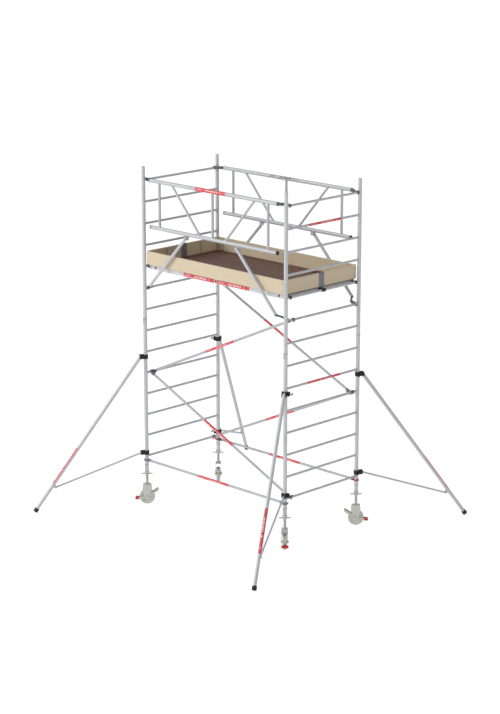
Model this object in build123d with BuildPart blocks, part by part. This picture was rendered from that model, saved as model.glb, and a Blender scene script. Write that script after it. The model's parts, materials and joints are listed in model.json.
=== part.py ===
"""Mobile tower scaffold: two ladder-frame ends in two lifts, hook-on braces, a two-deck
platform with toe boards and guardrails, four adjustable braked castors and four
swing-out stabilisers. Millimetres, +Z up, origin on the ground under the tower's centre."""

from build123d import *
from math import atan2, cos, degrees, hypot, radians, sin
import os

# ---- Tower grid -------------------------------------------------------------------------
FRAME_SPACING = 2500.0  # along X, post centre to post centre
FRAME_WIDTH = 1300.0  # along Y, post centre to post centre
FIRST_RUNG = 650.0  # height of the lowest rung
RUNG_PITCH = 280.0
RUNGS_PER_FRAME = 7
POST_TAIL = 230.0  # post below its lowest rung
POST_HEAD = RUNG_PITCH - POST_TAIL  # post above its highest rung, so the pitch runs on
RUN_GAP = 0.3  # clearance of anything that slips over a tube

# ---- Tubes ------------------------------------------------------------------------------
POST_R = 25.0
POST_WALL = 2.0
RUNG_R = 15.0
RUNG_WALL = 1.8
RUNG_FLUTES = 12
FLUTE_R = 1.0
SPIGOT_UP = 122.0
SPIGOT_DOWN = 120.0
SPIGOT_WALL = 2.6
PIN_R = 4.5  # interlock clip pin
PIN_UP = 60.0  # pin above the foot of a post
BRACE_R = 16.0
BRACE_WALL = 1.6

# ---- Hooks ------------------------------------------------------------------------------
HOOK_BORE_R = RUNG_R + RUN_GAP
HOOK_R = RUNG_R + 10.0
HOOK_THICK = 28.0
HOOK_REACH = 78.0  # rung axis to the end of the brace tube
LATCH_THICK = 4.0
LOWER_BRACE_INSET = 90.0  # brace plane inboard of the post plane
UPPER_BRACE_INSET = 125.0
POST_HOOK_R = POST_R + 10.0
POST_HOOK_DROP = 53.0  # horizontal brace below the lowest rung

# ---- Guardrail --------------------------------------------------------------------------
RAIL_R = 24.0
RAIL_WALL = 2.0
TOP_RAIL_UP = 10.0  # top rail above the rung that its hooks sit on
RAIL_DROP = 595.0  # top rail to bottom rail
RAIL_END_GAP = 138.0  # rail end to the rung axis
STANCHION_R = 17.0
STANCHION_X = 952.0
DIAGONAL_R = 15.0
DIAGONAL_TOP_X = 735.0
DIAGONAL_FOOT_X = 212.0
GUARD_HOOK_INSET = 50.0  # hook plane inboard of the post plane
STRUT_R = 20.0
STRUT_OUT = 30.0  # strut plane outboard of the post plane
STRUT_PIVOT_X = 450.0
STRUT_PIVOT_DROP = 48.0  # pivot below the bottom rail
STRUT_PIN_R = 6.0
STRUT_MOUTH = 17.5  # half width of the strut hook's mouth

# ---- Platform ---------------------------------------------------------------------------
BEAM_W = 35.0
BEAM_H = 60.0
BEAM_WALL = 2.5
BEAM_RISE = 32.0  # beam top above the axis of the rung that carries it
DECK_SIDE_GAP = 50.0  # platform's outer face inboard of the post plane
DECK_HALF_WIDTH = FRAME_WIDTH / 2 - DECK_SIDE_GAP
MIDDLE_GAP = 2.0
DECK_THICK = 12.0
END_BEAM_W = 40.0
CROSS_W = 40.0
CROSS_H = 40.0
CROSS_XS = {"front": (-600.0, 0.0, 600.0), "back": (-820.0, -260.0, 375.0)}
CLAW_REACH = 47.0  # rung axis to the platform's end face
CLAW_H = 36.0
HATCH_LENGTH = 700.0
HATCH_WIDTH = 450.0
HATCH_EDGE = 60.0  # deck left between the hatch and the end beam
HATCH_OFFSET = 12.0  # hatch nearer the middle of the tower than its deck
HATCH_GAP = 4.0
HATCH_RIB_W = 30.0
HATCH_RIB_H = 12.0
HINGE_R = 5.0
HINGE_PIN_R = 3.0
HINGE_OUT = 10.0  # hinge axis outside the opening
HINGE_LEAF = 30.0
HINGE_BASE = 20.0
HINGE_PLATE = 2.0
BARREL_L = 30.0
KNUCKLE_L = 18.0
TOE_HEIGHT = 170.0
TOE_THICK = 25.0
TOE_LIFT = 8.0
TOE_END_GAP = 43.0
TOE_SIDE_IN = 5.0  # side board's outer face inboard of the post plane
TOE_GAP = 3.0  # between a side board and an end board
DIVIDER_HALF = 47.0
CLIP_W = 40.0
CLIP_END_INSET = 90.0
CORNER_LEG = 45.0
CORNER_H = 130.0
PLATE = 3.0

# ---- Castors ----------------------------------------------------------------------------
WHEEL_R = 100.0
TYRE_DEPTH = 16.0
WHEEL_DISC_R = WHEEL_R - TYRE_DEPTH
WHEEL_DISC_HALF = 10.0
HUB_R = 23.0
TYRE_HALF = 25.0
TYRE_ROUND = 6.0
SPINDLE_GAP = 5.0  # spindle inside the post's bore
SPINDLE_R = POST_R - POST_WALL - SPINDLE_GAP
SPINDLE_WALL = 4.0
SPINDLE_UP = 168.0  # spindle's foot above the axle
SPINDLE_FOOT = WHEEL_R + SPINDLE_UP
SPINDLE_TOP = 760.0
SPINDLE_FLANGE_R = 34.0
SPINDLE_FLANGE = 6.0
NUT_LIP = 30.0  # nut cup up the post
NUT_BODY = 25.0  # nut body below the post
NUT_R = POST_R + 5.0
NUT_WAIST_R = SPINDLE_R + 8.0
NUT_SPAN = 146.0
NUT_BAR_R = 8.0
SCREW_FIT = 0.1
SWIVEL_GAP = 0.4
KINGPIN_R = 10.0
KINGPIN_HEAD_R = 16.0
KINGPIN_HEAD = 10.0
FORK_HEAD = 10.0
FORK_TOP_HALF = 53.0
FORK_PLATE = 4.0
FORK_GAP = 33.0
FORK_SHOULDER_HALF = 60.0
FORK_SHOULDER_UP = 90.0  # shoulder above the axle
FORK_SHOULDER_Z = WHEEL_R + FORK_SHOULDER_UP
FORK_BOSS_R = 35.0
AXLE_R = 6.0
AXLE_HALF = 53.0
AXLE_NUT_R = 10.0
AXLE_NUT = 9.0
ARM_GAP = 2.0  # brake arm clear of the fork
ARM = 3.0
ARM_BOSS_R = 17.0
ARM_HALF = 13.0
PEDAL_CLEAR = 3.0  # pedal beyond the tread
PEDAL_L = 53.0
PEDAL_NEAR = WHEEL_R + PEDAL_CLEAR
PEDAL_FAR = PEDAL_NEAR + PEDAL_L
PEDAL_W = 89.0
PEDAL_H = 22.0
PEDAL_DROP = 23.0
PEDAL_SKIN = 4.0  # pedal above and below the ends of its arms
LEVER_CLEAR = 14.0  # lever plate beyond the tread
LEVER_L = 64.0
LEVER_NEAR = WHEEL_R + LEVER_CLEAR
LEVER_FAR = LEVER_NEAR + LEVER_L
LEVER_HALF = 4.0
LEVER_ANGLE = 146.0

# ---- Stabilisers ------------------------------------------------------------------------
SWING_ANGLE = 60.0  # leg's direction in plan, from the long side
FOOT_REACH = 1485.0
LEG_R = 22.5
LEG_WALL = 2.0
LEG_PIVOT = POST_R + 39.0  # pivot out from the post's axis
LEG_ABOVE = 16.0  # tube past its pivot
UPPER_CLAMP_DROP = 60.0  # below the sixth rung
LOWER_CLAMP_RISE = 50.0  # above the first rung
CLAMP_R = POST_R + 9.0
CLAMP_H = 54.0
CHEEK = 6.0
CHEEK_FAR = LEG_PIVOT + 18.0
CHEEK_GAP = 1.0
CLAMP_LUG = CLAMP_R + 23.0  # bolt lug out from the post's axis
CLAMP_LUG_W = 30.0
HINGE_LUG_R = 9.0
PIVOT_R = 5.0
PIVOT_HEAD_R = 9.0
PIVOT_HEAD = 6.0
T_BAR_HALF = 40.0
T_BAR_OUT = CLAMP_LUG + 28.0
T_BAR_R = 6.5
FOOT_R = 30.0
FOOT_H = 50.0
FOOT_ROUND = 6.0
BRACKET_SHARE = 0.83  # bracket's place along the leg
BRACKET_DROP = 48.0
BRACKET_LONG = 48.0
BRACKET_W = 34.0
BRACKET_TIP_R = 12.0
SLOT_HALF = 17.0
STAY_R = 12.5
STAY_BELOW = 8.0

# ---- Derived places ---------------------------------------------------------------------
POST_X = FRAME_SPACING / 2
POST_Y = FRAME_WIDTH / 2
FRAME_HEIGHT = RUNGS_PER_FRAME * RUNG_PITCH
POST_FOOT = FIRST_RUNG - POST_TAIL


def rung_z(number):
    """Height of a rung, counted from 1 at the bottom."""
    return FIRST_RUNG + (number - 1) * RUNG_PITCH


PLATFORM_Z = rung_z(10)
BEAM_TOP = PLATFORM_Z + BEAM_RISE
TOP_RAIL_Z = rung_z(14) + TOP_RAIL_UP
LOW_RAIL_Z = TOP_RAIL_Z - RAIL_DROP
STRUT_PIVOT_Z = LOW_RAIL_Z - STRUT_PIVOT_DROP

CORNERS = {
    "front_left": (-1, -1),
    "back_left": (-1, 1),
    "front_right": (1, -1),
    "back_right": (1, 1),
}

os.makedirs("parts", exist_ok=True)


def write_node(name, pieces):
    """Write one node: a single piece, or a group of separate pieces."""
    piece = pieces[0] if len(pieces) == 1 else Compound(children=pieces)
    piece.label = name
    export_step(piece, f"parts/{name}.step")


def copy_at(piece, place):
    """A separate copy of a piece at a place."""
    return Part(piece.moved(place).wrapped)


def tube(start, end, radius, wall):
    """A square-cut round tube from one point to another."""
    run = Vector(*end) - Vector(*start)
    with BuildPart() as piece:
        with BuildSketch(Plane(origin=start, z_dir=run)):
            Circle(radius)
            Circle(radius - wall, mode=Mode.SUBTRACT)
        extrude(amount=run.length)
    return piece.part


# ---- End frames -------------------------------------------------------------------------
with BuildPart() as post:
    with BuildSketch():
        Circle(POST_R)
        Circle(POST_R - POST_WALL, mode=Mode.SUBTRACT)
    extrude(amount=FRAME_HEIGHT)
    with BuildSketch(Plane.XZ):
        with Locations((0, PIN_UP)):
            Circle(PIN_R + RUN_GAP)
    extrude(amount=POST_R, mode=Mode.SUBTRACT)

with BuildPart() as spigot:
    with BuildSketch(Plane.XY.offset(-SPIGOT_DOWN)):
        Circle(POST_R - POST_WALL)
    extrude(amount=SPIGOT_DOWN)
    with BuildSketch():
        Circle(POST_R - POST_WALL - RUN_GAP)
    extrude(amount=SPIGOT_UP)
    chamfer(spigot.edges().filter_by(GeomType.CIRCLE).sort_by(Axis.Z)[-1], 2.0)
    with BuildSketch(Plane.XY.offset(-SPIGOT_DOWN)):
        Circle(POST_R - POST_WALL - SPIGOT_WALL)
    extrude(amount=SPIGOT_DOWN + SPIGOT_UP, mode=Mode.SUBTRACT)
    with BuildSketch(Plane.XZ):
        with Locations((0, PIN_UP)):
            Circle(PIN_R + RUN_GAP)
    extrude(amount=POST_R, mode=Mode.SUBTRACT)

with BuildPart() as rung:
    with BuildSketch(Plane.XZ):
        Circle(RUNG_R)
        with PolarLocations(RUNG_R, RUNG_FLUTES):
            Circle(FLUTE_R, mode=Mode.SUBTRACT)
        Circle(RUNG_R - RUNG_WALL, mode=Mode.SUBTRACT)
    extrude(amount=POST_Y, both=True)
    with Locations((0, -POST_Y, 0), (0, POST_Y, 0)):
        Cylinder(POST_R, 4 * RUNG_R, mode=Mode.SUBTRACT)

for end_name, end in (("left", -1), ("right", 1)):
    for lift_name, lift in (("lower", 0), ("upper", 1)):
        foot = POST_FOOT + lift * FRAME_HEIGHT
        pieces = []
        for side in (-1, 1):
            turn = 0 if side < 0 else 180  # the pin holes face out of the long sides
            pieces.append(copy_at(post.part, Location((end * POST_X, side * POST_Y, foot), (0, 0, turn))))
            joint = Location((end * POST_X, side * POST_Y, foot + FRAME_HEIGHT), (0, 0, turn))
            pieces.append(copy_at(spigot.part, joint))
        for number in range(RUNGS_PER_FRAME):
            height = foot + POST_TAIL + number * RUNG_PITCH
            pieces.append(copy_at(rung.part, Location((end * POST_X, 0, height))))
        write_node(f"frame_{lift_name}_{end_name}", pieces)

# ---- Interlock clips --------------------------------------------------------------------
CLIP_WALL = 2.5
CLIP_H = 24.0
CLIP_UP = 110.0  # middle of the band above the post's foot
CLIP_MOUTH = 36.0
TONGUE_W = 16.0
PIN_TIP_R = 20.5
with BuildPart() as clip:
    with BuildSketch(Plane.XY.offset(CLIP_UP - CLIP_H / 2)):
        Circle(POST_R + RUN_GAP + CLIP_WALL)
        Circle(POST_R + RUN_GAP, mode=Mode.SUBTRACT)
        with Locations((0, POST_R)):
            Rectangle(CLIP_MOUTH, CLIP_MOUTH, mode=Mode.SUBTRACT)
    extrude(amount=CLIP_H)
    with BuildSketch(Plane.XZ.offset(POST_R + RUN_GAP)):
        with Locations((0, (PIN_UP + CLIP_UP) / 2)):
            Rectangle(TONGUE_W, CLIP_UP - PIN_UP + TONGUE_W)
    extrude(amount=CLIP_WALL)
    with BuildSketch(Plane.XZ.offset(PIN_TIP_R)):
        with Locations((0, PIN_UP)):
            Circle(PIN_R)
    extrude(amount=POST_R + RUN_GAP + CLIP_WALL - PIN_TIP_R)

clips = []
for side_x, side_y in CORNERS.values():
    for lift in (0, 1):
        turn = 0 if side_y < 0 else 180
        height = POST_FOOT + lift * FRAME_HEIGHT
        clips.append(copy_at(clip.part, Location((side_x * POST_X, side_y * POST_Y, height), (0, 0, turn))))
write_node("interlock_clips", clips)


# ---- Braces -----------------------------------------------------------------------------
def turned(x, z, angle):
    """A point of the XZ plane turned about the origin, from +X towards +Z."""
    turn = radians(angle)
    return (x * cos(turn) - z * sin(turn), x * sin(turn) + z * cos(turn))


def xz(points, angle=0.0):
    """A closed outline from points of the XZ plane, turned by an angle."""
    Polyline(*[turned(x, z, angle) for x, z in points], close=True)


def brace_hook(slope):
    """A hook over a rung at the origin, with its stem and tube plug at slope degrees to +X."""
    run = Vector(cos(radians(slope)), 0, sin(radians(slope)))
    with BuildPart() as hook:
        with BuildSketch(Plane.XZ.offset(-HOOK_THICK / 2)):
            Circle(HOOK_R)
            with BuildLine():
                xz([(0, 15), (HOOK_REACH, 14), (HOOK_REACH, -14), (0, -15)], slope)
            make_face()
            Circle(HOOK_BORE_R, mode=Mode.SUBTRACT)
            with Locations((0, -HOOK_R)):
                Rectangle(2 * HOOK_BORE_R, 2 * HOOK_R, mode=Mode.SUBTRACT)
        extrude(amount=HOOK_THICK)
        with BuildSketch(Plane(origin=run * HOOK_REACH, z_dir=run)):
            Circle(BRACE_R - BRACE_WALL)
        extrude(amount=30)
    return hook.part


def brace_latch(slope):
    """The gravity latch beside a brace hook: a finger that closes the mouth under the rung."""
    with BuildPart() as latch:
        with BuildSketch(Plane.XZ.offset(-HOOK_THICK / 2 - LATCH_THICK)):
            with BuildLine():
                xz([(58, 9), (62, -9), (30, -26), (-14, -29), (-14, -20), (18, -17), (40, 9)], slope / 2)
            make_face()
            with Locations((0, 0)):
                Circle(HOOK_BORE_R + 1, mode=Mode.SUBTRACT)
        extrude(amount=LATCH_THICK)
    return latch.part


def brace_tube(name, start, end):
    """A brace tube between two rung axes, cut back at each end to its hook."""
    run = (Vector(*end) - Vector(*start)).normalized()
    piece = tube(Vector(*start) + run * HOOK_REACH, Vector(*end) - run * HOOK_REACH, BRACE_R, BRACE_WALL)
    write_node(name, [piece])


hooks = []
latches = []
for side_name, side in (("front", -1), ("back", 1)):
    for lift_name, low, inset, way in (
        ("lower", 1, LOWER_BRACE_INSET, 1),
        ("upper", 5, UPPER_BRACE_INSET, -1),
    ):
        y = side * (POST_Y - inset)
        foot = (-side * way * POST_X, y, rung_z(low))
        head = (side * way * POST_X, y, rung_z(low + 4))
        brace_tube(f"diagonal_brace_{side_name}_{lift_name}", foot, head)
        slope = degrees(atan2(4 * RUNG_PITCH, FRAME_SPACING))
        for point, rise in ((foot, slope), (head, -slope)):
            # A hook's stem points to the middle of the tower, so right-hand ones turn round.
            turn = 180 if point[0] > 0 else 0
            hooks.append(copy_at(brace_hook(rise), Location(point, (0, 0, turn))))
            # The latch lies on the hook's inboard face.
            inboard = side if turn else -side
            latch = brace_latch(rise)
            if inboard < 0:
                latch = copy_at(latch, Location((0, -HOOK_THICK - LATCH_THICK, 0)))
            latches.append(copy_at(latch, Location(point, (0, 0, turn))))

with BuildPart() as post_hook:
    # Jaw round a post at the origin, stem to +X, mouth to +Y.
    with BuildSketch(Plane.XY.offset(-HOOK_THICK / 2)):
        Circle(POST_HOOK_R)
        with Locations((HOOK_REACH / 2, 0)):
            Rectangle(HOOK_REACH, 30)
        Circle(POST_R + RUN_GAP, mode=Mode.SUBTRACT)
        with Locations((0, POST_HOOK_R)):
            Rectangle(2 * (POST_R + RUN_GAP), 2 * POST_HOOK_R, mode=Mode.SUBTRACT)
    extrude(amount=HOOK_THICK)
    with BuildSketch(Plane.YZ.offset(HOOK_REACH)):
        Circle(BRACE_R - BRACE_WALL)
    extrude(amount=30)

with BuildPart() as post_latch:
    # Bar across the mouth of the jaw, bolted to the stem's +Y face.
    with BuildSketch(Plane.XY.offset(-8)):
        with Locations(((HOOK_REACH - POST_HOOK_R) / 2 - 4, POST_R + 4)):
            Rectangle(HOOK_REACH + POST_HOOK_R - 16, 6)
        with Locations((HOOK_REACH - 24, (15 + POST_R + 1) / 2)):
            Rectangle(16, POST_R + 1 - 15)
    extrude(amount=16)
    fillet(post_latch.edges().filter_by(Axis.Z).sort_by(Axis.X)[-2:], 2)

for side_name, side in (("front", -1), ("back", 1)):
    height = FIRST_RUNG - POST_HOOK_DROP
    reach = POST_X - HOOK_REACH
    brace = tube((-reach, side * POST_Y, height), (reach, side * POST_Y, height), BRACE_R, BRACE_WALL)
    write_node(f"horizontal_brace_{side_name}", [brace])
    for end in (-1, 1):
        # The mouth faces inboard; a half turn or a mirror puts the stem towards the middle.
        mirrored = (end < 0) == (side > 0)
        for source, group in ((post_hook.part, hooks), (post_latch.part, latches)):
            piece = Part(source.mirror(Plane.XZ).wrapped) if mirrored else source
            turn = 180 if end > 0 else 0
            group.append(copy_at(piece, Location((end * POST_X, side * POST_Y, height), (0, 0, turn))))
write_node("brace_hooks", hooks)
write_node("brace_latches", latches)

# ---- Guardrails -------------------------------------------------------------------------
rail_half = POST_X - RAIL_END_GAP
guard_pieces = []
for height in (TOP_RAIL_Z, LOW_RAIL_Z):
    guard_pieces.append(tube((-rail_half, 0, height), (rail_half, 0, height), RAIL_R, RAIL_WALL))
for x in (-STANCHION_X, 0, STANCHION_X):
    with BuildPart() as stanchion:
        with BuildSketch(Plane.XY.offset(LOW_RAIL_Z)):
            with Locations((x, 0)):
                Circle(STANCHION_R)
                Circle(STANCHION_R - RAIL_WALL, mode=Mode.SUBTRACT)
        extrude(amount=RAIL_DROP)
        with Locations(Location((x, 0, LOW_RAIL_Z), (0, 90, 0)), Location((x, 0, TOP_RAIL_Z), (0, 90, 0))):
            Cylinder(RAIL_R, 4 * STANCHION_R, mode=Mode.SUBTRACT)
    guard_pieces.append(stanchion.part)
for side in (-1, 1):
    foot = Vector(side * DIAGONAL_FOOT_X, 0, LOW_RAIL_Z)
    head = Vector(side * DIAGONAL_TOP_X, 0, TOP_RAIL_Z)
    with BuildPart() as diagonal:
        with BuildSketch(Plane(origin=foot, z_dir=head - foot)):
            Circle(DIAGONAL_R)
            Circle(DIAGONAL_R - RAIL_WALL, mode=Mode.SUBTRACT)
        extrude(amount=(head - foot).length)
        for end in (foot, head):
            with Locations(Location(end, (0, 90, 0))):
                Cylinder(RAIL_R, 8 * DIAGONAL_R, mode=Mode.SUBTRACT)
    guard_pieces.append(diagonal.part)

BRACKET_PLATE = 6.0
PIN_HEAD = 5.0
pivot_y = -STRUT_OUT
with BuildPart() as pivot:
    # Plate welded under the bottom rail, with the strut's pin standing out of it.
    with BuildSketch(Plane.XZ):
        Rectangle(50, 2 * STRUT_PIVOT_DROP, align=(Align.CENTER, Align.CENTER))
        with Locations((0, -STRUT_PIVOT_DROP / 2 - 25)):
            Rectangle(60, 50, mode=Mode.SUBTRACT)
    extrude(amount=BRACKET_PLATE)
    with Locations(Location((0, 0, STRUT_PIVOT_DROP), (0, 90, 0))):
        Cylinder(RAIL_R, 60, mode=Mode.SUBTRACT)
    with BuildSketch(Plane.XZ.offset(BRACKET_PLATE)):
        Circle(STRUT_PIN_R)
    extrude(amount=STRUT_OUT + STRUT_R - BRACKET_PLATE + 1)
    with BuildSketch(Plane.XZ.offset(STRUT_OUT + STRUT_R + 1)):
        Circle(STRUT_PIN_R + 4)
    extrude(amount=PIN_HEAD)
for side in (-1, 1):
    guard_pieces.append(copy_at(pivot.part, Location((side * STRUT_PIVOT_X, 0, STRUT_PIVOT_Z))))

for side_name, turn, side in (("front", 0, -1), ("back", 180, 1)):
    place = Location((0, side * POST_Y, 0), (0, 0, turn))
    write_node(f"guardrail_{side_name}", [copy_at(piece, place) for piece in guard_pieces])

CAP = 3.0
with BuildPart() as guard_hook:
    # Hook over the top rung at the origin, its arm stepping out to the rail end at +X.
    with BuildSketch(Plane.XZ.offset(-HOOK_THICK / 2)):
        Circle(HOOK_R)
        with BuildLine():
            xz([(0, 20), (60, 26), (60, -6), (16, -16)])
        make_face()
        Circle(HOOK_BORE_R, mode=Mode.SUBTRACT)
        with Locations((0, -HOOK_R)):
            Rectangle(2 * HOOK_BORE_R, 2 * HOOK_R, mode=Mode.SUBTRACT)
    extrude(amount=HOOK_THICK)
    with BuildSketch(Plane.XY.offset(-6)):
        with BuildLine():
            step = -GUARD_HOOK_INSET
            Polyline((50, 14), (74, 14), (RAIL_END_GAP - CAP, step + 22), (RAIL_END_GAP - CAP, step - 18),
                     (112, step - 18), (50, -14), close=True)
        make_face()
    extrude(amount=32)
    with BuildSketch(Plane.YZ.offset(RAIL_END_GAP - CAP)):
        with Locations((step, TOP_RAIL_UP)):
            Circle(RAIL_R + 2)
    extrude(amount=CAP)
    with BuildSketch(Plane.YZ.offset(RAIL_END_GAP)):
        with Locations((step, TOP_RAIL_UP)):
            Circle(RAIL_R - RAIL_WALL)
    extrude(amount=20)

with BuildPart() as end_cap:
    with BuildSketch(Plane.YZ):
        Circle(RAIL_R + 1)
    extrude(amount=-CAP)
    with BuildSketch(Plane.YZ):
        Circle(RAIL_R - RAIL_WALL)
    extrude(amount=15)

guard_hooks = []
for side_x, side_y in CORNERS.values():
    mirrored = side_x * side_y < 0
    turn = 180 if side_x > 0 else 0
    hook_y = side_y * (POST_Y - GUARD_HOOK_INSET)
    hook = guard_hook.part
    if mirrored:
        hook = Part(hook.mirror(Plane.XZ).wrapped)
    guard_hooks.append(copy_at(hook, Location((side_x * POST_X, hook_y, rung_z(14)), (0, 0, turn))))
    cap_place = Location((side_x * rail_half, side_y * POST_Y, LOW_RAIL_Z), (0, 0, turn))
    guard_hooks.append(copy_at(end_cap.part, cap_place))
write_node("guardrail_hooks", guard_hooks)

# ---- Guardrail struts -------------------------------------------------------------------
# Built for the front right corner about the pivot, then mirrored to the others.
rung_dx = POST_X - STRUT_PIVOT_X
rung_dz = rung_z(9) - STRUT_PIVOT_Z
hook_dy = STRUT_OUT + GUARD_HOOK_INSET
mouth_angle = degrees(atan2(rung_dx, -rung_dz))
elbow = Vector(rung_dx - RAIL_END_GAP, 0, rung_dz + 62)
knee = Vector(rung_dx - 84, hook_dy, rung_dz + 26)
LINK_R = 13.0
with BuildPart() as strut_tube:
    with BuildSketch(Plane(origin=(0, 0, 0), z_dir=elbow)):
        Circle(STRUT_R)
    extrude(amount=elbow.length)
    with Locations(elbow):
        Sphere(STRUT_R)
    with Locations(Location((0, 0, 0), (90, 0, 0))):
        Cylinder(STRUT_R, 2 * STRUT_R)
    bore_start = elbow.normalized() * (STRUT_R + 5)
    with BuildSketch(Plane(origin=bore_start, z_dir=elbow)):
        Circle(STRUT_R - RAIL_WALL)
    extrude(amount=elbow.length - STRUT_R - 10, mode=Mode.SUBTRACT)
    with Locations(Location((0, 0, 0), (90, 0, 0))):
        Cylinder(STRUT_PIN_R + SCREW_FIT, 4 * STRUT_R, mode=Mode.SUBTRACT)
with BuildPart() as strut_link:
    with BuildSketch(Plane(origin=elbow, z_dir=knee - elbow)):
        Circle(LINK_R)
    extrude(amount=(knee - elbow).length)
    with Locations(knee):
        Sphere(LINK_R)
    with Locations(elbow):
        Sphere(STRUT_R, mode=Mode.SUBTRACT)
with BuildPart() as strut_hook:
    with BuildSketch(Plane.XZ.offset(-HOOK_THICK / 2)):
        Circle(HOOK_R)
        with BuildLine():
            Polyline((0, 22), (-84, 40), (-84, 12), (-12, -21), close=True)
        make_face()
        Circle(HOOK_BORE_R + RUN_GAP, mode=Mode.SUBTRACT)
        with BuildLine():
            xz([(0, STRUT_MOUTH), (2 * HOOK_R, STRUT_MOUTH + 4), (2 * HOOK_R, -STRUT_MOUTH - 4), (0, -STRUT_MOUTH)],
               mouth_angle)
        make_face(mode=Mode.SUBTRACT)
    extrude(amount=HOOK_THICK)
    with Locations(knee - Vector(rung_dx, hook_dy, rung_dz)):
        Sphere(LINK_R, mode=Mode.SUBTRACT)
strut_pieces = [
    strut_tube.part,
    strut_link.part,
    copy_at(strut_hook.part, Location((rung_dx, hook_dy, rung_dz))),
]
for corner, (side_x, side_y) in CORNERS.items():
    pieces = []
    for piece in strut_pieces:
        if side_x < 0:
            piece = Part(piece.mirror(Plane.YZ).wrapped)
        if side_y > 0:
            piece = Part(piece.mirror(Plane.XZ).wrapped)
        place = Location((side_x * STRUT_PIVOT_X, side_y * (POST_Y + STRUT_OUT), STRUT_PIVOT_Z))
        pieces.append(copy_at(piece, place))
    write_node(f"guardrail_strut_{corner}", pieces)

# ---- Platform ---------------------------------------------------------------------------
# Each deck is worked out on the front side, then turned half round for the back.
end_face = POST_X - CLAW_REACH
beam_mid = BEAM_TOP - BEAM_H / 2
outer_beam_y = -DECK_HALF_WIDTH + BEAM_W / 2
inner_beam_y = -(MIDDLE_GAP + BEAM_W) / 2
bay_y = (outer_beam_y + inner_beam_y) / 2
bay_width = inner_beam_y - outer_beam_y - BEAM_W
deck_low = BEAM_TOP - DECK_THICK
deck_half = end_face - END_BEAM_W


def box_tube(width, height, length, plane):
    """A rectangular tube along a plane's normal, centred on its origin."""
    with BuildPart() as piece:
        with BuildSketch(plane.offset(-length / 2)):
            Rectangle(width, height)
            Rectangle(width - 2 * BEAM_WALL, height - 2 * BEAM_WALL, mode=Mode.SUBTRACT)
        extrude(amount=length)
    return piece.part


side_beam = box_tube(BEAM_W, BEAM_H, 2 * end_face, Plane.YZ)
end_beam = box_tube(END_BEAM_W, BEAM_H, bay_width, Plane.XZ)
cross_beam = box_tube(CROSS_W, CROSS_H, bay_width, Plane.XZ)

with BuildPart() as claw:
    # Hook over the platform's rung at the origin, its shank running to +X.
    with BuildSketch(Plane.XZ.offset(-HOOK_THICK / 2)):
        Circle(HOOK_R)
        with Locations((CLAW_REACH / 2, 0)):
            Rectangle(CLAW_REACH, CLAW_H)
        Circle(HOOK_BORE_R, mode=Mode.SUBTRACT)
        with Locations((0, -HOOK_R)):
            Rectangle(2 * HOOK_BORE_R, 2 * HOOK_R, mode=Mode.SUBTRACT)
    extrude(amount=HOOK_THICK)

for side_name, turn in (("front", 0), ("back", 180)):
    place = Location((0, 0, 0), (0, 0, turn))
    pieces = []
    for y in (outer_beam_y, inner_beam_y):
        pieces.append(copy_at(side_beam, place * Location((0, y, beam_mid))))
        pieces.append(copy_at(claw.part, place * Location((-POST_X, y, PLATFORM_Z))))
        pieces.append(copy_at(claw.part, place * Location((POST_X, y, PLATFORM_Z), (0, 0, 180))))
    for end in (-1, 1):
        x = end * (end_face - END_BEAM_W / 2)
        pieces.append(copy_at(end_beam, place * Location((x, bay_y, beam_mid))))
    for x in CROSS_XS[side_name]:
        # Placed by its own X, which the half turn of the back deck doesn't change.
        y = bay_y if side_name == "front" else -bay_y
        pieces.append(copy_at(cross_beam, Location((x, y, deck_low - CROSS_H / 2))))
    write_node(f"platform_frame_{side_name}", pieces)

with BuildPart() as deck_front:
    with BuildSketch(Plane.XY.offset(deck_low)):
        with Locations((0, bay_y)):
            Rectangle(2 * deck_half, bay_width)
    extrude(amount=DECK_THICK)
write_node("deck_front", [deck_front.part])

hatch_x = deck_half - HATCH_EDGE - HATCH_LENGTH / 2
hatch_y = -bay_y - HATCH_OFFSET
hinge_y = hatch_y + HATCH_WIDTH / 2 + HINGE_OUT
hinge_z = BEAM_TOP + HINGE_R
hinge_xs = (hatch_x - HATCH_LENGTH / 4, hatch_x + HATCH_LENGTH / 4)

with BuildPart() as hinge_base:
    # Pin with a knuckle at each side of the hatch's barrel, on plates screwed to the deck.
    Cylinder(HINGE_PIN_R, BARREL_L + 2 * KNUCKLE_L, rotation=(0, 90, 0))
    for x in (-BARREL_L / 2 - KNUCKLE_L, BARREL_L / 2 + SCREW_FIT):
        with BuildSketch(Plane.YZ.offset(x)):
            Circle(HINGE_R)
            with Locations((HINGE_BASE / 2, (HINGE_PLATE - 2 * HINGE_R) / 2)):
                Rectangle(HINGE_BASE, HINGE_PLATE)
        extrude(amount=KNUCKLE_L - SCREW_FIT)

with BuildPart() as hinge_leaf:
    # Barrel round the pin at the origin, its leaf lying on the panel at -Y.
    with BuildSketch(Plane.YZ.offset(-BARREL_L / 2 + SCREW_FIT)):
        Circle(HINGE_R)
        with Locations((-HINGE_LEAF / 2, (HINGE_PLATE - 2 * HINGE_R) / 2)):
            Rectangle(HINGE_LEAF, HINGE_PLATE)
        Circle(HINGE_PIN_R + SCREW_FIT, mode=Mode.SUBTRACT)
    extrude(amount=BARREL_L - 2 * SCREW_FIT)

with BuildPart() as deck_back:
    with BuildSketch(Plane.XY.offset(deck_low)):
        with Locations((0, -bay_y)):
            Rectangle(2 * deck_half, bay_width)
        with Locations((hatch_x, hatch_y)):
            Rectangle(HATCH_LENGTH, HATCH_WIDTH, mode=Mode.SUBTRACT)
    extrude(amount=DECK_THICK)
bases = [copy_at(hinge_base.part, Location((x, hinge_y, hinge_z))) for x in hinge_xs]
write_node("deck_back", [deck_back.part, *bases])

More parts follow.
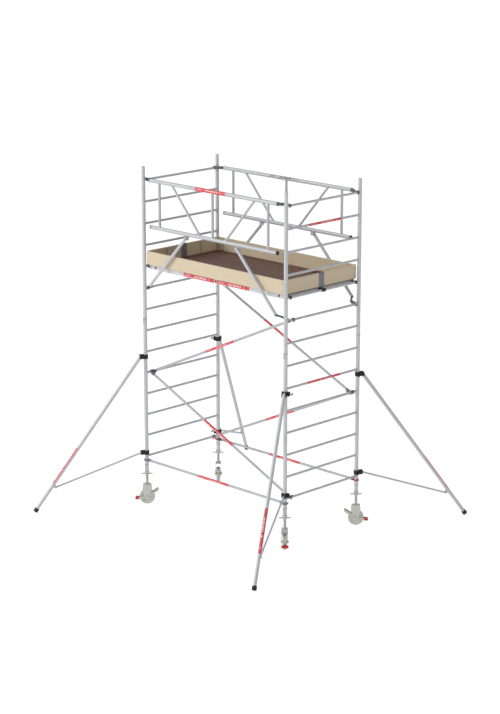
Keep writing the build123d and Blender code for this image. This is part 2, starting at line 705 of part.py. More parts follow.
with BuildPart() as hatch:
    with BuildSketch(Plane.XY.offset(deck_low)):
        with Locations((hatch_x, hatch_y)):
            Rectangle(HATCH_LENGTH - 2 * HATCH_GAP, HATCH_WIDTH - 2 * HATCH_GAP)
    extrude(amount=DECK_THICK)
    with BuildSketch(Plane.XY.offset(deck_low)):
        for x in hinge_xs:
            with Locations((x, hatch_y)):
                Rectangle(HATCH_RIB_W, HATCH_WIDTH - 2 * HATCH_RIB_W)
    extrude(amount=-HATCH_RIB_H)
leaves = [copy_at(hinge_leaf.part, Location((x, hinge_y, hinge_z))) for x in hinge_xs]
write_node("hatch", [hatch.part, *leaves])

# ---- Toe boards -------------------------------------------------------------------------
toe_low = BEAM_TOP + TOE_LIFT
board_half = POST_X - TOE_END_GAP
side_outer = POST_Y - TOE_SIDE_IN
side_inner = side_outer - TOE_THICK
end_outer = POST_X - POST_R
end_inner = end_outer - TOE_THICK

with BuildPart() as side_board:
    with BuildSketch(Plane.XY.offset(toe_low)):
        Rectangle(2 * board_half, TOE_THICK)
    extrude(amount=TOE_HEIGHT)

with BuildPart() as end_board:
    end_far = side_inner - TOE_GAP
    with BuildSketch(Plane.XY.offset(toe_low)):
        with Locations((0, (DIVIDER_HALF + end_far) / 2)):
            Rectangle(TOE_THICK, end_far - DIVIDER_HALF)
    extrude(amount=TOE_HEIGHT)

with BuildPart() as side_clip:
    # Angle with its foot on the beam, its upright against the board's inner face at +Y.
    with BuildSketch(Plane.YZ.offset(-CLIP_W / 2)):
        with BuildLine():
            inboard = DECK_HALF_WIDTH - BEAM_W
            Polyline((side_inner, BEAM_TOP), (inboard, BEAM_TOP), (inboard, BEAM_TOP + PLATE),
                     (side_inner - PLATE, BEAM_TOP + PLATE), (side_inner - PLATE, BEAM_TOP + TOE_HEIGHT),
                     (side_inner, BEAM_TOP + TOE_HEIGHT), close=True)
        make_face()
    extrude(amount=CLIP_W)

with BuildPart() as end_clip:
    # The same against an end board's inner face at +X.
    with BuildSketch(Plane.XZ.offset(-CLIP_W / 2)):
        with BuildLine():
            inboard = end_face - END_BEAM_W
            Polyline((end_inner, BEAM_TOP), (inboard, BEAM_TOP), (inboard, BEAM_TOP + PLATE),
                     (end_inner - PLATE, BEAM_TOP + PLATE), (end_inner - PLATE, BEAM_TOP + TOE_HEIGHT),
                     (end_inner, BEAM_TOP + TOE_HEIGHT), close=True)
        make_face()
    extrude(amount=CLIP_W)

with BuildPart() as corner_angle:
    # Inside angle that joins a side board to an end board.
    with BuildSketch(Plane.XY.offset(toe_low + (TOE_HEIGHT - CORNER_H) / 2)):
        with BuildLine():
            Polyline((end_inner - CORNER_LEG, side_inner), (end_inner - CORNER_LEG, side_inner - PLATE),
                     (end_inner - PLATE, side_inner - PLATE), (end_inner - PLATE, side_inner - CORNER_LEG),
                     (end_inner, side_inner - CORNER_LEG), (end_inner, side_inner), close=True)
        make_face()
    extrude(amount=CORNER_H)

with BuildPart() as divider:
    # Box post between the two halves of an end's boards.
    with BuildSketch(Plane.XY.offset(BEAM_TOP)):
        with Locations(((end_inner + end_outer) / 2 - PLATE, 0)):
            Rectangle(TOE_THICK + PLATE, 2 * (DIVIDER_HALF - RUN_GAP))
            Rectangle(TOE_THICK - PLATE, 2 * (DIVIDER_HALF - PLATE), mode=Mode.SUBTRACT)
    extrude(amount=TOE_LIFT + TOE_HEIGHT + PLATE)

half_turns = (Location(), Location((0, 0, 0), (0, 0, 180)))
side_boards = []
end_boards = []
toe_hardware = []
for place in half_turns:
    side_boards.append(copy_at(side_board.part, place * Location((0, side_outer - TOE_THICK / 2, 0))))
    end_x = end_outer - TOE_THICK / 2
    end_boards.append(copy_at(end_board.part, place * Location((end_x, 0, 0))))
    end_boards.append(copy_at(end_board.part, place * Location((-end_x, 0, 0))))
    for x in (CLIP_END_INSET - board_half, 0, board_half - CLIP_END_INSET):
        toe_hardware.append(copy_at(side_clip.part, place * Location((x, 0, 0))))
    for y in (bay_y, -bay_y):
        toe_hardware.append(copy_at(end_clip.part, place * Location((0, y, 0))))
    toe_hardware.append(copy_at(divider.part, place))
    toe_hardware.append(copy_at(corner_angle.part, place))
    mirrored_angle = Part(corner_angle.part.mirror(Plane.YZ).wrapped)
    toe_hardware.append(copy_at(mirrored_angle, place))
write_node("toe_boards_side", side_boards)
write_node("toe_boards_end", end_boards)
write_node("toe_board_brackets", toe_hardware)

# ---- Castors ----------------------------------------------------------------------------
# Modelled round the post's axis, rolling along X with the pedal at +X.
FORK_TOP = SPINDLE_FOOT - SWIVEL_GAP
upright = (Align.CENTER, Align.CENTER, Align.MIN)
hanging = (Align.CENTER, Align.CENTER, Align.MAX)
along_y = (90, 0, 0)

with BuildPart() as nut:
    # Cup under the post's foot at the origin, with two wings to turn it by.
    Cylinder(NUT_R, NUT_LIP, align=upright)
    Cylinder(NUT_WAIST_R, NUT_BODY, align=hanging)
    with Locations((0, 0, -NUT_BAR_R - PLATE)):
        Cylinder(NUT_BAR_R, NUT_SPAN, rotation=(0, 90, 0))
    Cylinder(POST_R + RUN_GAP, NUT_LIP, align=upright, mode=Mode.SUBTRACT)
    Cylinder(SPINDLE_R + SCREW_FIT, 2 * NUT_SPAN, mode=Mode.SUBTRACT)

with BuildPart() as spindle:
    with Locations((0, 0, SPINDLE_FOOT)):
        Cylinder(SPINDLE_R, SPINDLE_TOP - SPINDLE_FOOT, align=upright)
        Cylinder(SPINDLE_FLANGE_R, SPINDLE_FLANGE, align=upright)
    with Locations((0, 0, SPINDLE_FOOT + SPINDLE_R)):
        Cylinder(SPINDLE_R - SPINDLE_WALL, SPINDLE_TOP, align=upright, mode=Mode.SUBTRACT)
    with Locations((0, 0, SPINDLE_FOOT)):
        Cylinder(KINGPIN_R, FORK_HEAD + 2 * SWIVEL_GAP, align=hanging)
    with Locations((0, 0, SPINDLE_FOOT - FORK_HEAD - 2 * SWIVEL_GAP)):
        Cylinder(KINGPIN_HEAD_R, KINGPIN_HEAD, align=hanging)

with BuildPart() as fork:
    with BuildSketch(Plane.XY.offset(FORK_TOP - FORK_HEAD)):
        RectangleRounded(2 * FORK_TOP_HALF, 2 * (FORK_GAP + FORK_PLATE), 2 * FORK_PLATE)
        Circle(KINGPIN_R + SCREW_FIT, mode=Mode.SUBTRACT)
    extrude(amount=FORK_HEAD)
    for y in (FORK_GAP + FORK_PLATE, -FORK_GAP):
        with BuildSketch(Plane.XZ.offset(-y)):
            with BuildLine():
                shoulder = (FORK_SHOULDER_HALF, FORK_SHOULDER_Z)
                Polyline((FORK_TOP_HALF, FORK_TOP - FORK_PLATE), shoulder, (FORK_BOSS_R, WHEEL_R),
                         (-FORK_BOSS_R, WHEEL_R), (-shoulder[0], shoulder[1]),
                         (-FORK_TOP_HALF, FORK_TOP - FORK_PLATE), close=True)
            make_face()
            with Locations((0, WHEEL_R)):
                Circle(FORK_BOSS_R)
                Circle(AXLE_R, mode=Mode.SUBTRACT)
        extrude(amount=FORK_PLATE)

with BuildPart() as axle:
    with Locations((0, 0, WHEEL_R)):
        Cylinder(AXLE_R, 2 * AXLE_HALF, rotation=along_y)
    for y in (-AXLE_HALF, AXLE_HALF - AXLE_NUT):
        with BuildSketch(Plane.XZ.offset(y)):
            with Locations((0, WHEEL_R)):
                RegularPolygon(AXLE_NUT_R, 6)
        extrude(amount=AXLE_NUT)

with BuildPart() as wheel_disc:
    # Turned about Z: half a section, out along X.
    with BuildSketch(Plane.XZ):
        with Locations(((AXLE_R + SCREW_FIT + HUB_R) / 2, 0)):
            Rectangle(HUB_R - AXLE_R - SCREW_FIT, 2 * (FORK_GAP - SWIVEL_GAP))
        with Locations(((HUB_R + WHEEL_DISC_R) / 2, 0)):
            Rectangle(WHEEL_DISC_R - HUB_R, 2 * WHEEL_DISC_HALF)
        with Locations((WHEEL_DISC_R - TYRE_ROUND, 0)):
            Rectangle(2 * TYRE_ROUND, 2 * TYRE_HALF - TYRE_ROUND)
    revolve(axis=Axis.Z)

with BuildPart() as tyre:
    with BuildSketch(Plane.XZ):
        with Locations(((WHEEL_DISC_R + WHEEL_R) / 2, 0)):
            Rectangle(WHEEL_R - WHEEL_DISC_R, 2 * TYRE_HALF)
    revolve(axis=Axis.Z)
    fillet(tyre.edges().filter_by(GeomType.CIRCLE).group_by(SortBy.RADIUS)[-1], TYRE_ROUND)

arm_in = FORK_GAP + FORK_PLATE + ARM_GAP
arm_tip = PEDAL_H / 2 - PEDAL_SKIN
pedal_arm = [(0, ARM_HALF), (PEDAL_FAR - ARM_HALF, arm_tip - PEDAL_DROP),
             (PEDAL_FAR - ARM_HALF, -arm_tip - PEDAL_DROP), (0, -ARM_HALF)]
with BuildPart() as brake_arm:
    # Rocker plate on the axle at the origin: pedal at +X, release lever up at the other side.
    with BuildSketch(Plane.XZ.offset(arm_in)):
        with BuildLine():
            xz(pedal_arm)
        make_face()
        with BuildLine():
            xz([(0, ARM_HALF), (LEVER_FAR, ARM_HALF), (LEVER_FAR, -ARM_HALF), (0, -ARM_HALF)], LEVER_ANGLE)
        make_face()
        Circle(ARM_BOSS_R)
        Circle(AXLE_R + SCREW_FIT, mode=Mode.SUBTRACT)
    extrude(amount=ARM)

with BuildPart() as brake_lever:
    # Cross plate between the two rocker plates, behind the wheel.
    with BuildSketch(Plane.XZ.offset(-arm_in)):
        with BuildLine():
            xz([(LEVER_NEAR, LEVER_HALF), (LEVER_FAR, LEVER_HALF), (LEVER_FAR, -LEVER_HALF),
                (LEVER_NEAR, -LEVER_HALF)], LEVER_ANGLE)
        make_face()
    extrude(amount=2 * arm_in)

with BuildPart() as pedal:
    with BuildSketch(Plane.XZ.offset(-PEDAL_W / 2)):
        with Locations(((PEDAL_NEAR + PEDAL_FAR) / 2, -PEDAL_DROP)):
            RectangleRounded(PEDAL_FAR - PEDAL_NEAR, PEDAL_H, ARM_HALF / 2)
    extrude(amount=PEDAL_W)
    with BuildSketch(Plane.XZ.offset(arm_in)):
        # Slots that the rocker plates are moulded into.
        with BuildLine():
            xz(pedal_arm)
        make_face()
    extrude(amount=ARM, mode=Mode.SUBTRACT)
    mirror(about=Plane.XZ, mode=Mode.INTERSECT)

PLAN_ANGLE = {
    "front_left": 225,
    "back_left": 135,
    "front_right": -45,
    "back_right": 45,
}
for corner, (side_x, side_y) in CORNERS.items():
    at_post = Location((side_x * POST_X, side_y * POST_Y, 0), (0, 0, PLAN_ANGLE[corner]))
    at_axle = at_post * Location((0, 0, WHEEL_R))
    on_axle = at_axle * Location((0, 0, 0), along_y)
    # Every nut's wings lie along one diagonal of the tower.
    under_post = Location((side_x * POST_X, side_y * POST_Y, POST_FOOT - SCREW_FIT), (0, 0, 45))
    write_node(f"castor_nut_{corner}", [copy_at(nut.part, under_post)])
    write_node(f"castor_spindle_{corner}", [copy_at(spindle.part, at_post)])
    write_node(f"castor_fork_{corner}", [copy_at(fork.part, at_post), copy_at(axle.part, at_post)])
    wheel = [copy_at(wheel_disc.part, on_axle), copy_at(tyre.part, on_axle)]
    write_node(f"castor_wheel_{corner}", wheel)
    other_arm = Part(brake_arm.part.mirror(Plane.XZ).wrapped)
    brake = [brake_arm.part, other_arm, brake_lever.part, pedal.part]
    write_node(f"castor_brake_{corner}", [copy_at(piece, at_axle) for piece in brake])

# ---- Stabilisers ------------------------------------------------------------------------
# Modelled round the post's axis in the XZ plane, the leg running out to +X.
upper_clamp_z = rung_z(6) - UPPER_CLAMP_DROP
lower_clamp_z = rung_z(1) + LOWER_CLAMP_RISE
lean = atan2(FOOT_REACH - LEG_PIVOT, upper_clamp_z)
for step in range(4):
    # The foot's tilted, rounded rim just reaches the ground, which sets the leg's lean.
    end_z = (FOOT_R - FOOT_ROUND) * sin(lean) + FOOT_ROUND * (1 - cos(lean))
    lean = atan2(FOOT_REACH - LEG_PIVOT, upper_clamp_z - end_z)
leg_run = Vector(sin(lean), 0, -cos(lean))
leg_head = Vector(LEG_PIVOT, 0, upper_clamp_z)
leg_length = hypot(FOOT_REACH - LEG_PIVOT, upper_clamp_z - end_z)
bracket_at = leg_head + leg_run * (BRACKET_SHARE * leg_length)
stay_foot = bracket_at + Vector(-cos(lean), 0, -sin(lean)) * BRACKET_DROP
stay_head = Vector(LEG_PIVOT, 0, lower_clamp_z)
stay_run = (stay_foot - stay_head).normalized()


def pivot_bolt(place, grip):
    """A bolt along Y through a joint of a given half thickness, with its head and nut."""
    with Locations(place):
        Cylinder(PIVOT_R, 2 * grip, rotation=along_y)
    for y in (-1, 1):
        with Locations(place + Vector(0, y * (grip + PIVOT_HEAD / 2), 0)):
            Cylinder(PIVOT_HEAD_R, PIVOT_HEAD, rotation=along_y)


def clamp(radius, side):
    """A post clamp for a tube of a given radius, its T-handled bolt towards side."""
    gap = radius + CHEEK_GAP / 2
    with BuildPart() as piece:
        with BuildSketch(Plane.XY.offset(-CLAMP_H / 2)):
            Circle(CLAMP_R)
            for y in (-1, 1):
                with Locations((CHEEK_FAR / 2, y * (gap + CHEEK / 2))):
                    Rectangle(CHEEK_FAR, CHEEK)
            with Locations((0, side * CLAMP_LUG / 2)):
                Rectangle(CLAMP_LUG_W, CLAMP_LUG)
            with Locations((0, -side * (CLAMP_R + HINGE_LUG_R / 2))):
                Circle(HINGE_LUG_R)
            Circle(POST_R + RUN_GAP, mode=Mode.SUBTRACT)
        extrude(amount=CLAMP_H)
        pivot_bolt(Vector(LEG_PIVOT, 0, 0), gap + CHEEK)
        with Locations((0, side * (CLAMP_LUG + T_BAR_OUT) / 2, 0)):
            Cylinder(PIVOT_R, T_BAR_OUT - CLAMP_LUG, rotation=along_y)
        with Locations((0, side * T_BAR_OUT, 0)):
            Cylinder(T_BAR_R, 2 * T_BAR_HALF, rotation=(0, 90, 0))
    return piece.part


def pivoted_tube(start, end, radius, pivots):
    """A round tube drilled across, along Y, for the bolts that it turns on."""
    run = end - start
    with BuildPart() as piece:
        with BuildSketch(Plane(origin=start, z_dir=run)):
            Circle(radius)
            Circle(radius - LEG_WALL, mode=Mode.SUBTRACT)
        extrude(amount=run.length)
        with Locations(*pivots):
            Cylinder(PIVOT_R + SCREW_FIT, 4 * radius, rotation=along_y, mode=Mode.SUBTRACT)
    return piece.part


leg = pivoted_tube(
    leg_head - leg_run * LEG_ABOVE, leg_head + leg_run * (leg_length - FOOT_H / 2), LEG_R, [leg_head]
)
stay = pivoted_tube(
    stay_head - stay_run * LEG_ABOVE, stay_foot + stay_run * STAY_BELOW, STAY_R, [stay_head, stay_foot]
)

with BuildPart() as rubber_foot:
    with BuildSketch(Plane(origin=leg_head + leg_run * (leg_length - FOOT_H), z_dir=leg_run)):
        Circle(FOOT_R)
    extrude(amount=FOOT_H)
    fillet(rubber_foot.edges().filter_by(GeomType.CIRCLE).sort_by(Axis.Z)[0], FOOT_ROUND)
    add(leg, mode=Mode.SUBTRACT)

# The bracket's plane has its x along the leg and its y from the leg towards the post.
bracket_plane = Plane(origin=bracket_at, x_dir=leg_run, z_dir=(0, 1, 0))
with BuildPart() as stay_bracket:
    with BuildSketch(bracket_plane.offset(-BRACKET_W / 2)):
        with BuildLine():
            Polyline((-BRACKET_LONG / 2, 0), (BRACKET_LONG / 2, 0), (BRACKET_TIP_R, BRACKET_DROP),
                     (-BRACKET_TIP_R, BRACKET_DROP), close=True)
        make_face()
        with Locations((0, BRACKET_DROP)):
            Circle(BRACKET_TIP_R)
    extrude(amount=BRACKET_W)
    slot = 2 * STAY_R + CHEEK_GAP
    with BuildSketch(bracket_plane.offset(-slot / 2)):
        with Locations((0, BRACKET_DROP)):
            Rectangle(2 * BRACKET_LONG, 2 * SLOT_HALF)
    extrude(amount=slot, mode=Mode.SUBTRACT)
    with BuildSketch(Plane(origin=leg_head, z_dir=leg_run)):
        Circle(LEG_R)
    extrude(amount=leg_length, mode=Mode.SUBTRACT)
    pivot_bolt(stay_foot, BRACKET_W / 2)

for corner, (side_x, side_y) in CORNERS.items():
    # Each leg points out of its corner, SWING_ANGLE from the long side.
    plan = degrees(atan2(side_y * sin(radians(SWING_ANGLE)), side_x * cos(radians(SWING_ANGLE))))
    place = Location((side_x * POST_X, side_y * POST_Y, 0), (0, 0, plan))
    side = -side_x * side_y
    clamps = [
        copy_at(clamp(LEG_R, side), place * Location((0, 0, upper_clamp_z))),
        copy_at(clamp(STAY_R, side), place * Location((0, 0, lower_clamp_z))),
    ]
    write_node(f"stabiliser_clamps_{corner}", clamps)
    pieces = (leg, rubber_foot.part, stay_bracket.part)
    write_node(f"stabiliser_leg_{corner}", [copy_at(piece, place) for piece in pieces])
    write_node(f"stabiliser_stay_{corner}", [copy_at(stay, place)])
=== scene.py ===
"""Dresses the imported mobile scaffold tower: finishes, welds, threads, labels and studio."""

import json
import logging
import math
from collections.abc import Callable, Sequence
from dataclasses import dataclass, field
from enum import Enum

import bmesh
import bpy
from mathutils import Matrix, Vector

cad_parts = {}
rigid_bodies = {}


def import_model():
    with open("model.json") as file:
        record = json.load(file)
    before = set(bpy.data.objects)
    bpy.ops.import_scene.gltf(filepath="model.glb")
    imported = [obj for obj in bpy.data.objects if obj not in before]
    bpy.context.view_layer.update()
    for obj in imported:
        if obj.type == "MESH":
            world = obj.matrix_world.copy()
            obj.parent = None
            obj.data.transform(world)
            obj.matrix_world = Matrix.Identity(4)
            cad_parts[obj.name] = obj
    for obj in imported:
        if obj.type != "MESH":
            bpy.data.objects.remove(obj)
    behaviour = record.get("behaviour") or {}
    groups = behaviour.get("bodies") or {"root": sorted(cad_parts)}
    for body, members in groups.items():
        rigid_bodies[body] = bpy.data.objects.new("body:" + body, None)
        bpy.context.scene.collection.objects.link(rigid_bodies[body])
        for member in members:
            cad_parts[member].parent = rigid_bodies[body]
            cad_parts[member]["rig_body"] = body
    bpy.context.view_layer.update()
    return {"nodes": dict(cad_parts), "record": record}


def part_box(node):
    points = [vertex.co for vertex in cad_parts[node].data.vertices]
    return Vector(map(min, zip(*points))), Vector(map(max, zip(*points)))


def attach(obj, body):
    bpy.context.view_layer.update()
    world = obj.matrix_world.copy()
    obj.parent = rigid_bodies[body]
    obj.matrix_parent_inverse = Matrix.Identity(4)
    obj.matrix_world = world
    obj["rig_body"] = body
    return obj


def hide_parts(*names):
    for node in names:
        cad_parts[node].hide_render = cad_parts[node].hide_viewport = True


log = logging.getLogger("scaffold_tower")

Colour = tuple[float, float, float]
Point = tuple[float, float, float]
Section = Sequence[tuple[float, float]]
Socket = bpy.types.NodeSocket
Material = bpy.types.Material
Thing = bpy.types.Object
SMOOTH_ANGLE = math.radians(32)
LABEL_STEPS = 14
LABEL_SKIN = 0.0006


def srgb(red: int, green: int, blue: int) -> Colour:
    """Turns a paint-card colour into the linear values a shader takes.

    Args:
        red: Red from 0 to 255.
        green: Green from 0 to 255.
        blue: Blue from 0 to 255.

    Returns:
        The three linear values.
    """
    return tuple(((c / 255 + 0.055) / 1.055) ** 2.4 for c in (red, green, blue))


class Way(Enum):
    """A main direction of the tower, as a grain or a drawn tube runs."""

    X = 0
    Y = 1
    Z = 2


class Corner(Enum):
    """A corner post of the tower: its side in X, its side in Y and its castor's heading."""

    FRONT_LEFT = (-1, -1, 225)
    BACK_LEFT = (-1, 1, 135)
    FRONT_RIGHT = (1, -1, -45)
    BACK_RIGHT = (1, 1, 45)

    @property
    def tag(self) -> str:
        """The corner's name in node and body names."""
        return self.name.lower()

    @property
    def side(self) -> tuple[int, int]:
        """The corner's sides in X and Y."""
        return self.value[0], self.value[1]

    @property
    def heading(self) -> float:
        """The castor's heading in plan, in radians."""
        return math.radians(self.value[2])


# ---- Finishes ----------------------------------------------------------------------------
class Recipe:
    """A node material under construction."""

    def __init__(self, name: str) -> None:
        """Starts a material from a plain Principled shader."""
        self.material = bpy.data.materials.new(name)
        self.material.use_nodes = True
        self.tree = self.material.node_tree
        self.shader = self.tree.nodes["Principled BSDF"]
        self.place = self.tree.nodes.new("ShaderNodeTexCoord").outputs["Object"]

    def set(self, **values: float | Colour) -> None:
        """Sets constants on the shader's own sockets, underscores for spaces."""
        for name, value in values.items():
            socket = self.shader.inputs[name.replace("_", " ")]
            socket.default_value = (*value, 1.0) if isinstance(value, tuple) else value

    def node(self, kind: str, **settings: object) -> bpy.types.Node:
        """Adds a node with its settings."""
        made = self.tree.nodes.new(kind)
        for name, value in settings.items():
            setattr(made, name, value)
        return made

    def link(self, out: Socket, into: Socket) -> None:
        """Joins two sockets."""
        self.tree.links.new(out, into)

    def maths(self, operation: str, *values: Socket | float) -> Socket:
        """A Math node on sockets or numbers.

        Args:
            operation: The Math node's operation.
            values: Up to three inputs.

        Returns:
            Its value.
        """
        made = self.node("ShaderNodeMath", operation=operation)
        for socket, value in zip(made.inputs, values):
            if isinstance(value, Socket):
                self.link(value, socket)
            else:
                socket.default_value = value
        return made.outputs[0]

    def along(self, start: Vector, run: Vector) -> Socket:
        """How far a point is along a run, 0 at its start and 1 after the run's length.

        Args:
            start: Where the run starts.
            run: The run, with its length.

        Returns:
            The share of the run.
        """
        per_run = run / run.length_squared
        dot = self.node("ShaderNodeVectorMath", operation="DOT_PRODUCT")
        self.link(self.place, dot.inputs[0])
        dot.inputs[1].default_value = per_run
        return self.maths("SUBTRACT", dot.outputs["Value"], start.dot(per_run))

    def noise(
        self, size: float, stretch: Way | None = None, much: float = 14.0, detail: float = 4.0,
    ) -> Socket:
        """Noise on the piece's own coordinates.

        Args:
            size: Size of its features in metres.
            stretch: The direction that it is drawn out along.
            much: How many times it is drawn out.
            detail: Levels of finer noise.

        Returns:
            Noise from 0 to 1.
        """
        scale = [1.0, 1.0, 1.0]
        if stretch is not None:
            scale[stretch.value] = 1.0 / much
        mapping = self.node("ShaderNodeMapping")
        mapping.inputs["Scale"].default_value = scale
        self.link(self.place, mapping.inputs["Vector"])
        made = self.node("ShaderNodeTexNoise")
        made.inputs["Scale"].default_value = 1.0 / size
        made.inputs["Detail"].default_value = detail
        self.link(mapping.outputs["Vector"], made.inputs["Vector"])
        return made.outputs["Fac"]

    def spread(self, value: Socket, low: float, high: float, soft: float = 0.25) -> Socket:
        """Maps the middle of a noise to a range.

        Args:
            value: The noise.
            low: What its low part becomes.
            high: What its high part becomes.
            soft: Half the part of the noise that is spread.

        Returns:
            The mapped value.
        """
        made = self.node("ShaderNodeMapRange")
        for name, number in (
            ("From Min", 0.5 - soft), ("From Max", 0.5 + soft), ("To Min", low), ("To Max", high),
        ):
            made.inputs[name].default_value = number
        self.link(value, made.inputs["Value"])
        return made.outputs["Result"]

    def mix(self, share: Socket, one: Colour | Socket, two: Colour | Socket) -> Socket:
        """Blends two colours.

        Args:
            share: 0 for the first, 1 for the second.
            one: The first colour.
            two: The second colour.

        Returns:
            The blend.
        """
        made = self.node("ShaderNodeMix", data_type="RGBA")
        self.link(share, made.inputs["Factor"])
        for socket, value in ((made.inputs[6], one), (made.inputs[7], two)):
            if isinstance(value, Socket):
                self.link(value, socket)
            else:
                socket.default_value = (*value, 1.0)
        return made.outputs[2]

    def bump(self, height: Socket, depth: float, strength: float = 0.6) -> None:
        """Presses a height into the surface, its depth in metres."""
        made = self.node("ShaderNodeBump")
        made.inputs["Strength"].default_value = strength
        made.inputs["Distance"].default_value = depth
        self.link(height, made.inputs["Height"])
        self.link(made.outputs["Normal"], self.shader.inputs["Normal"])

    def colour(self, value: Socket) -> None:
        """Gives the surface its colour."""
        self.link(value, self.shader.inputs["Base Color"])

    def roughness(self, value: Socket) -> None:
        """Gives the surface its roughness."""
        self.link(value, self.shader.inputs["Roughness"])


@dataclass(frozen=True)
class DrawnAluminium:
    """Satin drawn tube: fine lines along it, cloudy sheen and a few rubs."""

    name: str
    light: Colour = (0.70, 0.71, 0.74)
    dark: Colour = (0.58, 0.59, 0.62)
    run: Way | None = None
    metal: float = 0.2
    smooth: float = 0.36
    rough: float = 0.5

    def material(self) -> Material:
        """Makes the material."""
        recipe = Recipe(self.name)
        recipe.set(Metallic=self.metal)
        lines = recipe.noise(0.0016, self.run, 60.0)
        clouds = recipe.noise(0.09, self.run, 3.0)
        rubs = recipe.spread(recipe.noise(0.02, self.run, 8.0), 0.0, 1.0, 0.08)
        body = recipe.mix(recipe.spread(clouds, 0.0, 1.0), self.dark, self.light)
        recipe.colour(recipe.mix(recipe.maths("MULTIPLY", rubs, 0.25), body, self.light))
        sheen = recipe.spread(clouds, self.smooth, self.rough)
        recipe.roughness(recipe.maths("ADD", sheen, recipe.maths("MULTIPLY", lines, 0.06)))
        recipe.bump(lines, 0.00006, 0.5)
        return recipe.material


@dataclass(frozen=True)
class CastMetal:
    """Sand-cast or forged metal, with a grainy skin."""

    name: str
    tint: Colour
    shade: Colour
    metal: float = 0.6
    rough: float = 0.5
    grain: float = 0.0022

    def material(self) -> Material:
        """Makes the material."""
        recipe = Recipe(self.name)
        recipe.set(Metallic=self.metal)
        grain = recipe.noise(self.grain, detail=6.0)
        patches = recipe.noise(0.02)
        recipe.colour(recipe.mix(recipe.spread(patches, 0.0, 1.0), self.shade, self.tint))
        recipe.roughness(recipe.spread(grain, self.rough - 0.08, self.rough + 0.12))
        recipe.bump(grain, 0.00025, 0.55)
        return recipe.material


@dataclass(frozen=True)
class Enamel:
    """Sprayed paint over metal or dyed moulding: slight orange peel, faint wear."""

    name: str
    tint: Colour
    worn: Colour
    rough: float = 0.32
    coat: float = 0.35

    def material(self) -> Material:
        """Makes the material."""
        recipe = Recipe(self.name)
        recipe.set(Coat_Weight=self.coat, Coat_Roughness=0.18)
        peel = recipe.noise(0.0035, detail=2.0)
        wear = recipe.spread(recipe.noise(0.012, detail=8.0), 0.0, 1.0, 0.12)
        recipe.colour(recipe.mix(recipe.maths("MULTIPLY", wear, 0.3), self.tint, self.worn))
        recipe.roughness(recipe.spread(wear, self.rough, self.rough + 0.15))
        recipe.bump(peel, 0.00012, 0.35)
        return recipe.material


@dataclass(frozen=True)
class Galvanised:
    """Zinc on steel, with its spangle of crystals."""

    name: str
    light: Colour = (0.66, 0.67, 0.67)
    dark: Colour = (0.44, 0.45, 0.46)
    spangle: float = 0.007
    metal: float = 0.9

    def material(self) -> Material:
        """Makes the material."""
        recipe = Recipe(self.name)
        recipe.set(Metallic=self.metal)
        cells = recipe.node("ShaderNodeTexVoronoi")
        cells.inputs["Scale"].default_value = 1.0 / self.spangle
        recipe.link(recipe.place, cells.inputs["Vector"])
        split = recipe.node("ShaderNodeSeparateColor")
        recipe.link(cells.outputs["Color"], split.inputs["Color"])
        crystal = split.outputs["Red"]
        recipe.colour(recipe.mix(crystal, self.dark, self.light))
        recipe.roughness(recipe.spread(crystal, 0.3, 0.55, 0.5))
        recipe.bump(recipe.noise(0.003), 0.0001, 0.4)
        return recipe.material


@dataclass(frozen=True)
class Timber:
    """Varnished softwood board with its grain along one way."""

    name: str
    grain: Way
    light: Colour = srgb(229, 213, 184)
    dark: Colour = srgb(218, 201, 170)

    def material(self) -> Material:
        """Makes the material."""
        recipe = Recipe(self.name)
        recipe.set(Coat_Weight=0.12, Coat_Roughness=0.3)
        rings = recipe.noise(0.016, self.grain, 26.0, 5.0)
        pores = recipe.noise(0.0022, self.grain, 40.0, 3.0)
        clouds = recipe.noise(0.2, self.grain, 3.0)
        wood = recipe.mix(recipe.spread(rings, 0.0, 0.7, 0.3), self.light, self.dark)
        wood = recipe.mix(recipe.spread(clouds, 0.0, 0.35), wood, self.light)
        dots = recipe.spread(pores, 0.14, 0.0, 0.1)
        recipe.colour(recipe.mix(dots, wood, srgb(196, 178, 146)))
        recipe.roughness(recipe.spread(rings, 0.42, 0.58))
        recipe.bump(pores, 0.00025, 0.5)
        return recipe.material


@dataclass(frozen=True)
class DeckFilm:
    """Brown film-faced plywood with a pressed anti-slip mesh and scuffed walking lanes."""

    name: str
    film: Colour = srgb(108, 72, 61)
    scuff: Colour = srgb(134, 103, 93)
    mesh: float = 0.006

    def material(self) -> Material:
        """Makes the material."""
        recipe = Recipe(self.name)
        weave = recipe.node("ShaderNodeTexVoronoi", feature="DISTANCE_TO_EDGE")
        weave.inputs["Scale"].default_value = 1.0 / self.mesh
        weave.inputs["Randomness"].default_value = 0.0
        recipe.link(recipe.place, weave.inputs["Vector"])
        wires = recipe.maths("LESS_THAN", weave.outputs["Distance"], 0.08)
        lanes = recipe.spread(recipe.noise(0.22, Way.X, 5.0, 6.0), 0.0, 0.55)
        specks = recipe.spread(recipe.noise(0.006), 0.0, 0.2)
        film = recipe.mix(lanes, self.film, self.scuff)
        recipe.colour(recipe.mix(specks, film, srgb(58, 40, 34)))
        recipe.roughness(recipe.spread(recipe.noise(0.05), 0.38, 0.62))
        recipe.bump(wires, 0.0003, 0.6)
        return recipe.material


@dataclass(frozen=True)
class Moulding:
    """Moulded plastic or rubber, with a fine eroded skin."""

    name: str
    tint: Colour
    marked: Colour
    rough: float = 0.5

    def material(self) -> Material:
        """Makes the material."""
        recipe = Recipe(self.name)
        skin = recipe.noise(0.0009, detail=2.0)
        marks = recipe.spread(recipe.noise(0.015, detail=7.0), 0.0, 0.5, 0.15)
        recipe.colour(recipe.mix(marks, self.tint, self.marked))
        recipe.roughness(recipe.spread(skin, self.rough - 0.06, self.rough + 0.1))
        recipe.bump(skin, 0.00008, 0.4)
        return recipe.material


